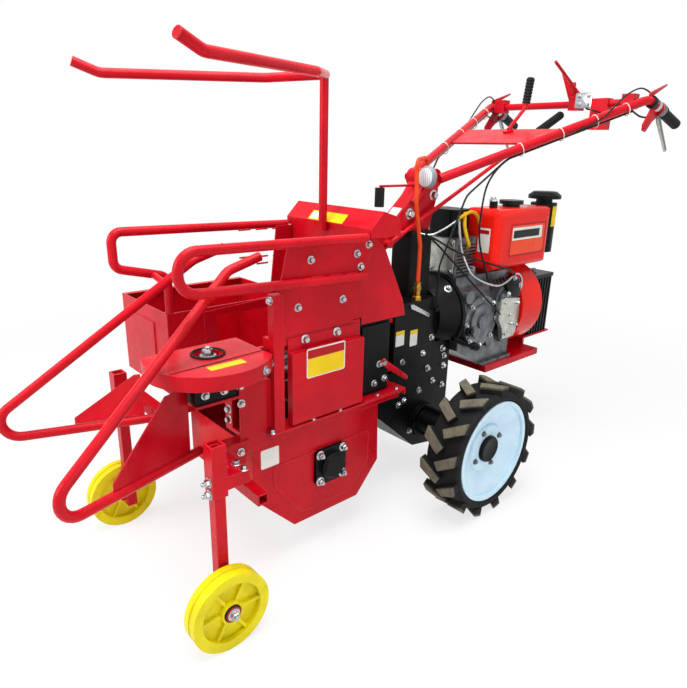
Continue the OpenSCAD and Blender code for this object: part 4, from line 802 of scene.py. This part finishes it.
# %% Engine pipes
pipes = (
    ("injection_pipe", 7, "zinc_plate",
     [(-106, 76, 826), (-114, 79, 780), (-124, 81, 738), (-138, 92, 696), (-160, 108, 655),
      (-205, 130, 630), (-258, 139, 618), (-305, 140, 628), (-350, 139, 646),
      (-384, 138, 630), (-394, 136, 596), (-394, 122, 566)]),
    ("return_pipe", 6, "zinc_plate",
     [(-150, 40, 766), (-140, 52, 800), (-124, 68, 824), (-106, 76, 830), (-92, 76, 826),
      (-50, 70, 806), (-2, 60, 790), (20, 36, 792)]),
    ("fuel_hose", 10, "yellow_fuel_hose",
     [(-222, 70, 806), (-196, 74, 838), (-160, 78, 850), (-128, 78, 842), (-104, 77, 834)]),
    ("strap_hose", 11, "yellow_fuel_hose",
     [(-136, 74, 850), (-130, 80, 812), (-140, 84, 776), (-160, 80, 748), (-172, 62, 738)]),
    ("stop_cable", 6, "black_moulded_abs",
     [(16, 22, 806), (2, 70, 776), (-50, 104, 716), (-128, 122, 646), (-212, 138, 572),
      (-276, 142, 522), (-294, 122, 506)]),
    ("governor_cable", 6, "black_moulded_abs",
     [(16, 22, 800), (-10, 74, 776), (-70, 96, 742), (-150, 110, 712), (-240, 146, 682),
      (-300, 152, 664), (-330, 146, 646), (-336, 120, 632)]),
    ("throttle_cable", 6, "black_moulded_abs",
     [(-735, 98, 1176), (-706, 150, 1164), (-640, 232, 1141), (-520, 206, 1098),
      (-380, 162, 1050), (-262, 126, 1008), (-196, 108, 944), (-176, 104, 860),
      (-178, 106, 760), (-206, 124, 660), (-240, 126, 600)]),
)
for name, diameter, finish, points in pipes:
    pipe(name, points, diameter, finish)
print("engine pipes:", len(pipes))

# %% [markdown]
# ## Fittings and flat bars
# The orange hose ends on a brass fitting with a hex foot and a collared stem.
# The clutch arm and the strap to the header are flat bars with round ends, so
# one function draws such an outline and the plate maker gives it thickness.

# %% Hose fitting and bars


def upright(y):
    """A frame for plates that stand along the machine: X forward, Y up, Z to the right."""
    return axes_at(at(0, y, 0), forward, skyward, from_left)


def blade(root, tip, wide, narrow):
    """The outline of a tapering bar with round ends, in millimetres."""
    root, tip = Vector(root), Vector(tip)
    along = (tip - root).normalized()
    side = Vector((-along.y, along.x))
    turns = [math.radians(a) for a in range(-90, 91, 30)]
    heel = [root - (along * math.cos(a) + side * math.sin(a)) * wide / 2 for a in turns]
    nose = [tip + (along * math.cos(a) + side * math.sin(a)) * narrow / 2 for a in turns]
    return [tuple(v) for v in heel + nose]


foot = turned(at(45, 60, 600), skyward)
bm = bmesh.new()
lathe(bm, foot, [(15, 0.2), (15, 11), (13.5, 12.5)], 6)
lathe(bm, foot, [(9.4, 12), (9.4, 30), (12, 31.5), (12, 40), (9.4, 41.5), (9.4, 50),
                 (10.5, 51), (10.5, 54.8)], 24)
piece_from(bm, "hose_fitting", "brass_fitting")
plate("clutch_arm", blade((86, 589), (11, 552), 15, 10), upright(83), 9, "zinc_plate", 0.8)
plate("header_strap", blade((270, 478), (176, 412), 18, 14), upright(153.5), 5,
      "red_gloss_enamel", 0.8)
bolts("strap_bolts", left_of("header_gearbox", (268, 476)), 13)
print("fitting and bars done")

# %% [markdown]
# ## Covers and plugs on the engine
# A dark drain leads down from the sump and a plug closes the oil filler. Cast
# covers guard the flywheel and the pump, and a ribbed one closes the head. They
# are plates cut to their outline, with bolts and cast ribs laid on them.

# %% Drain, plug and guards
drain_top = at(-104, 98, 458)
neck = (at(-196, 132, 416) - drain_top).normalized()
turning("sump_drain", turned(drain_top, neck),
        [(9, -6), (11, 0), (11, 74), (13.5, 76), (13.5, 96), (12, 99)], 28,
        "black_satin_enamel")
face, normal = seat("crankcase", at(-138, aside, 484), from_left)
turning("oil_plug", turned(face, normal),
        [(17, 0), (17, 7), (15.5, 8.5), (9, 8.5), (9, 15), (7.5, 16.5)], 28,
        "black_moulded_abs")
guard_face = 143
guard = [(-281, 566), (-300, 572), (-384, 560), (-391, 508), (-378, 440), (-366, 429),
         (-304, 429), (-296, 470), (-272, 500)]
plate("flywheel_guard", guard, upright(guard_face), 15, "pale_cast_aluminium", 1.0)
pump = [(-296, 618), (-339, 647), (-386, 615), (-386, 566), (-322, 574)]
plate("pump_plate", pump, upright(142), 14, "black_satin_enamel", 2.0)
guard_holes = ((-300, 556), (-372, 546), (-376, 470), (-314, 446), (-330, 510), (-345, 478),
               (-338, 634), (-376, 606), (-312, 584))
bolt_group("guard_bolts", [(at(x, guard_face, z), leftward, 11 * x) for x, z in guard_holes], 10)
print("guard bolts:", len(guard_holes))

# %% Head cover and vent nut
cover_face = -108
head = seat("engine_cylinder", at(60, 16, 712), from_front)[0]
plate("head_cover", rounded(98, 110, 7), turned(head, forward), 4, "pale_cast_aluminium", 1.0)
bolt_group("head_bolts", [(at(cover_face, y, z), forward, y)
                          for y in (-24, 57) for z in (668, 756)], 11)
bm = bmesh.new()
for z in range(682, 746, 6):
    sweep(bm, [(cover_face, y, z) for y in (-22, -21, 16, 54, 55)], 1.6, 8)
piece_from(bm, "head_ribs", "pale_cast_aluminium")
top, normal = seat("tank_caps", at(-278, 71, 1000), from_above)
bm = bmesh.new()
lathe(bm, turned(top, normal), [(13, 0.1), (13, 6), (11.5, 7.5)], 6)
lathe(bm, turned(top, normal), [(8.5, 7), (8.5, 12), (7, 13.5)], 20)
piece_from(bm, "vent_nut", "zinc_plate")
print("head cover at", [round(v, 3) for v in head])

# %% [markdown]
# ## Hand levers and cables at the grips
# Each grip has a red clamp plate with a pressed lever blade under it, bands round
# its tube, a short red lever above, and cables that run to the tube and are tied
# to it. They follow the slope of the grip, so a frame is set along it first.

# %% Grip fittings
bracket = [(-852, 1164), (-846, 1180), (-792, 1190), (-756, 1166), (-718, 1120),
           (-722, 1102), (-742, 1098), (-778, 1132)]
bands = (("clamp_band_", -14, 24, "red_gloss_enamel"), ("steel_band_", 22, 16, "zinc_plate"),
         ("pivot_band_", 50, 18, "black_moulded_abs"))
clamp_from_end, half_blade_m = 128, 0.0032
tie_wide, tie_high, tie_drop = 15.8, 19.4, 4.5
for side, s, _ in hands:
    root = Vector((-20, 60 * s, 948))
    bend, rear = Vector((-747, 302 * s, 1198)), Vector((-945, 322 * s, 1130))
    along = (bend - rear).normalized()
    upward = (Vector(skyward) - along * along.z).normalized()
    outward = along.cross(upward)
    clamp = rear + along * clamp_from_end
    plate("clamp_plate_" + side, bracket, upright(308 * s + 3), 6, "red_gloss_enamel", 1.2)
    place = axes_at(at(*clamp) - outward * half_blade_m, along, upward, outward)
    plate("lever_blade_" + side, blade((-12, -29), (-118, -93), 22, 13), place, 6.4,
          "pale_cast_aluminium", 1.2)
    for name, reach, length, finish in bands:
        turning(name + side, axes_at(at(*(clamp + along * reach)), upward, outward, along),
                [(14.2, 0), (18.5, 0), (19.5, 1.5), (19.5, length - 1.5), (18.5, length),
                 (14.2, length)], 28, finish, closed=True)
    plate("stop_lever_" + side, blade((-752, 1212), (-862, 1250), 17, 6),
          upright(303 * s + 2.5), 5, "red_gloss_enamel", 0.9)
    pipe("upper_cable_" + side,
         [(-768, 304 * s, 1206), (-745, 298 * s, 1222), (-700, 288 * s, 1228),
          (-640, 276 * s, 1204), (-590, 266 * s, 1166), (-540, 254 * s, 1128),
          (-480, 230 * s, 1098), (-420, 206 * s, 1072)], 5, "black_moulded_abs")
    pipe("grip_cable_" + side,
         [tuple(clamp + along * 14 - upward * 22), (-786, 292 * s, 1146),
          (-742, 284 * s, 1147), (-688, 282 * s, 1160)], 6, "black_moulded_abs")
    bm = bmesh.new()
    for share in (0.36, 0.55, 0.72, 0.88):
        middle = root.lerp(bend, share) - Vector((0, 0, tie_drop))
        sweep(bm, circle_line(middle, bend - root, tie_wide, tie_high), 1.5, 6, closed=True)
    piece_from(bm, "cable_ties_" + side, "white_nylon_tie")
print("grip slope", [round(v, 3) for v in along])

# %% Throttle
plate("throttle_plate", rounded(60, 50, 5), turned(at(-717, 96, 1201), forward), 4,
      "zinc_plate", 0.8)
plate("throttle_fork", blade((60, 1208), (0, 1297), 48, 9),
      axes_at(at(-727, 0, 0), leftward, skyward, forward), 6, "red_gloss_enamel", 1.0)
throttle_holes = ((78, 1214), (114, 1214), (114, 1188), (80, 1188))
bolt_group("throttle_bolts", [(at(-713, y, z), forward, 7 * z) for y, z in throttle_holes], 9, 4)

# %% [markdown]
# ## Lamp lens and battery posts
# The lamp's face is a shallow moulded lens with ribs inside, and the battery has
# two metal posts on its lid. A wave in the material is enough for the ribs of so
# small a lens; its crown is turned.

# %% Lens and posts
# Moulded acrylic, ribbed inside, so it scatters what it shows; the ribs are drawn coarser
# than they are, so that they show
rib_scale_mm, rib_deep_mm = 22, 0.8
tree, shader, place = start("frosted_acrylic_lens")
ribs = add(tree, "ShaderNodeTexWave", {"Vector": place},
           {"Scale": 1000 / rib_scale_mm, "Distortion": 0.4}, bands_direction="Y")
tone = add(tree, "ShaderNodeValToRGB", {"Fac": ribs.outputs["Fac"]},
           stops=[(0.2, "#B9BEC2"), (0.8, "#DDE1E4")])
bump = add(tree, "ShaderNodeBump", {"Height": ribs.outputs["Fac"]},
           {"Strength": 0.4, "Distance": rib_deep_mm / 1000})
wire(tree, shader, {"Base Color": tone.outputs[0], "Normal": bump.outputs[0]},
     {"Roughness": 0.18, "IOR": 1.49})
face, normal = seat("lamp", at(300, 52, 953), from_front)
turning("lamp_lens", turned(face, normal),
        [(26, 0.1), (25.5, 2), (20, 4.4), (12, 6.2), (4, 7.0)], 32, "frosted_acrylic_lens")

low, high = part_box("battery")
bm = bmesh.new()
for share in (0.22, 0.78):
    spot = Vector((low.x + 0.5 * (high.x - low.x), low.y + share * (high.y - low.y),
                   high.z + 0.2))
    top, normal = seat("battery", spot, from_above)
    lathe(bm, turned(top, normal), [(11, 0), (11, 3), (8.5, 3.2), (7.8, 15), (6.8, 16)], 20)
piece_from(bm, "battery_posts", "rolled_bare_steel")
print("battery box", [round(v, 3) for v in (*low, *high)])

# %% [markdown]
# ## Floor and light
# A studio cove: a pale floor that runs out of sight, a white world behind it and
# three soft panels. The lights stay at a plain level, so each colour renders
# about as it is written; the background is white because its own material is.

# %% Floor
# Matt painted board: nearly white, with a faint mist of tone; it glows to the camera away
# from the machine and keeps the shadow close to it
floor_m, floor_drop_m = 14.0, 0.0005
shadow_m, white_m = 1.1, 2.8
square = [(floor_m * i, floor_m * j, 0) for i, j in ((-1, -1), (1, -1), (1, 1), (-1, 1))]
floor_mesh = bpy.data.meshes.new("studio_floor")
floor_mesh.from_pydata(square, [], [(0, 1, 2, 3)])
floor = placed("studio_floor", floor_mesh)
floor.location.z = -floor_drop_m
tree, shader, place = start("pale_studio_floor")
mist = add(tree, "ShaderNodeTexNoise", {"Vector": place}, {"Scale": 0.6, "Detail": 2.0})
tone = add(tree, "ShaderNodeValToRGB", {"Fac": mist.outputs["Fac"]},
           stops=[(0.3, "#F2F2F2"), (0.7, "#F7F7F7")])
wire(tree, shader, {"Base Color": tone.outputs[0]}, {"Roughness": 0.9})
glow = add(tree, "ShaderNodeEmission", values={"Color": linear("#FFFFFF"), "Strength": 1.0})
rays = add(tree, "ShaderNodeLightPath").outputs
seen = add(tree, "ShaderNodeMath", {0: rays["Is Camera Ray"], 1: rays["Is Glossy Ray"]},
           operation="MAXIMUM")
away = add(tree, "ShaderNodeVectorMath", {0: place}, operation="LENGTH")
fade = add(tree, "ShaderNodeMapRange", {"Value": away.outputs["Value"]},
           {"From Min": shadow_m, "From Max": white_m, "To Min": 0.74, "To Max": 1.0},
           interpolation_type="SMOOTHSTEP")
share = add(tree, "ShaderNodeMath", {0: seen.outputs[0], 1: fade.outputs[0]},
            operation="MULTIPLY")
mixed = add(tree, "ShaderNodeMixShader",
            {0: share.outputs[0], 1: shader.outputs[0], 2: glow.outputs[0]})
output = next(n for n in tree.nodes if n.type == "OUTPUT_MATERIAL")
wire(tree, output, {"Surface": mixed.outputs[0]})
floor_mesh.materials.append(finishes["pale_studio_floor"])
print("floor is", 2 * floor_m, "m wide")

# %% World and lamps
world = bpy.data.worlds.new("studio_world")
world.use_nodes = True
bpy.context.scene.world = world
tree = world.node_tree
tree.nodes.clear()
rays = add(tree, "ShaderNodeLightPath").outputs
clear = add(tree, "ShaderNodeMath",
            {0: rays["Is Camera Ray"], 1: rays["Is Transmission Ray"]}, operation="MAXIMUM")
seen = add(tree, "ShaderNodeMath", {0: clear.outputs[0], 1: rays["Is Glossy Ray"]},
           operation="MAXIMUM")
sky = add(tree, "ShaderNodeBackground", values={"Color": linear("#F4F7FB"), "Strength": 0.34})
blank = add(tree, "ShaderNodeBackground", values={"Color": linear("#FFFFFF"), "Strength": 1.0})
both = add(tree, "ShaderNodeMixShader",
           {0: seen.outputs[0], 1: sky.outputs[0], 2: blank.outputs[0]})
add(tree, "ShaderNodeOutputWorld", {"Surface": both.outputs[0]})


def panel(name, place, target, size, power):
    """A soft square light, its size in metres, aimed at a point."""
    lamp = bpy.data.lights.new(name, "AREA")
    lamp.size = size
    lamp.energy = power
    made = placed(name, lamp)
    made.location = place
    made.rotation_euler = (Vector(target) - Vector(place)).to_track_quat("-Z", "Y").to_euler()


panel("top_panel", (0.6, 0.4, 3.2), (0.1, 0, 0.5), 2.4, 125)
panel("front_panel", (3.2, -0.6, 1.8), (0.2, 0, 0.5), 2.0, 56)
panel("side_panel", (0.2, 3.4, 1.6), (0, 0, 0.5), 2.0, 20)
bpy.context.scene.view_settings.view_transform = "Standard"
print("stage set")
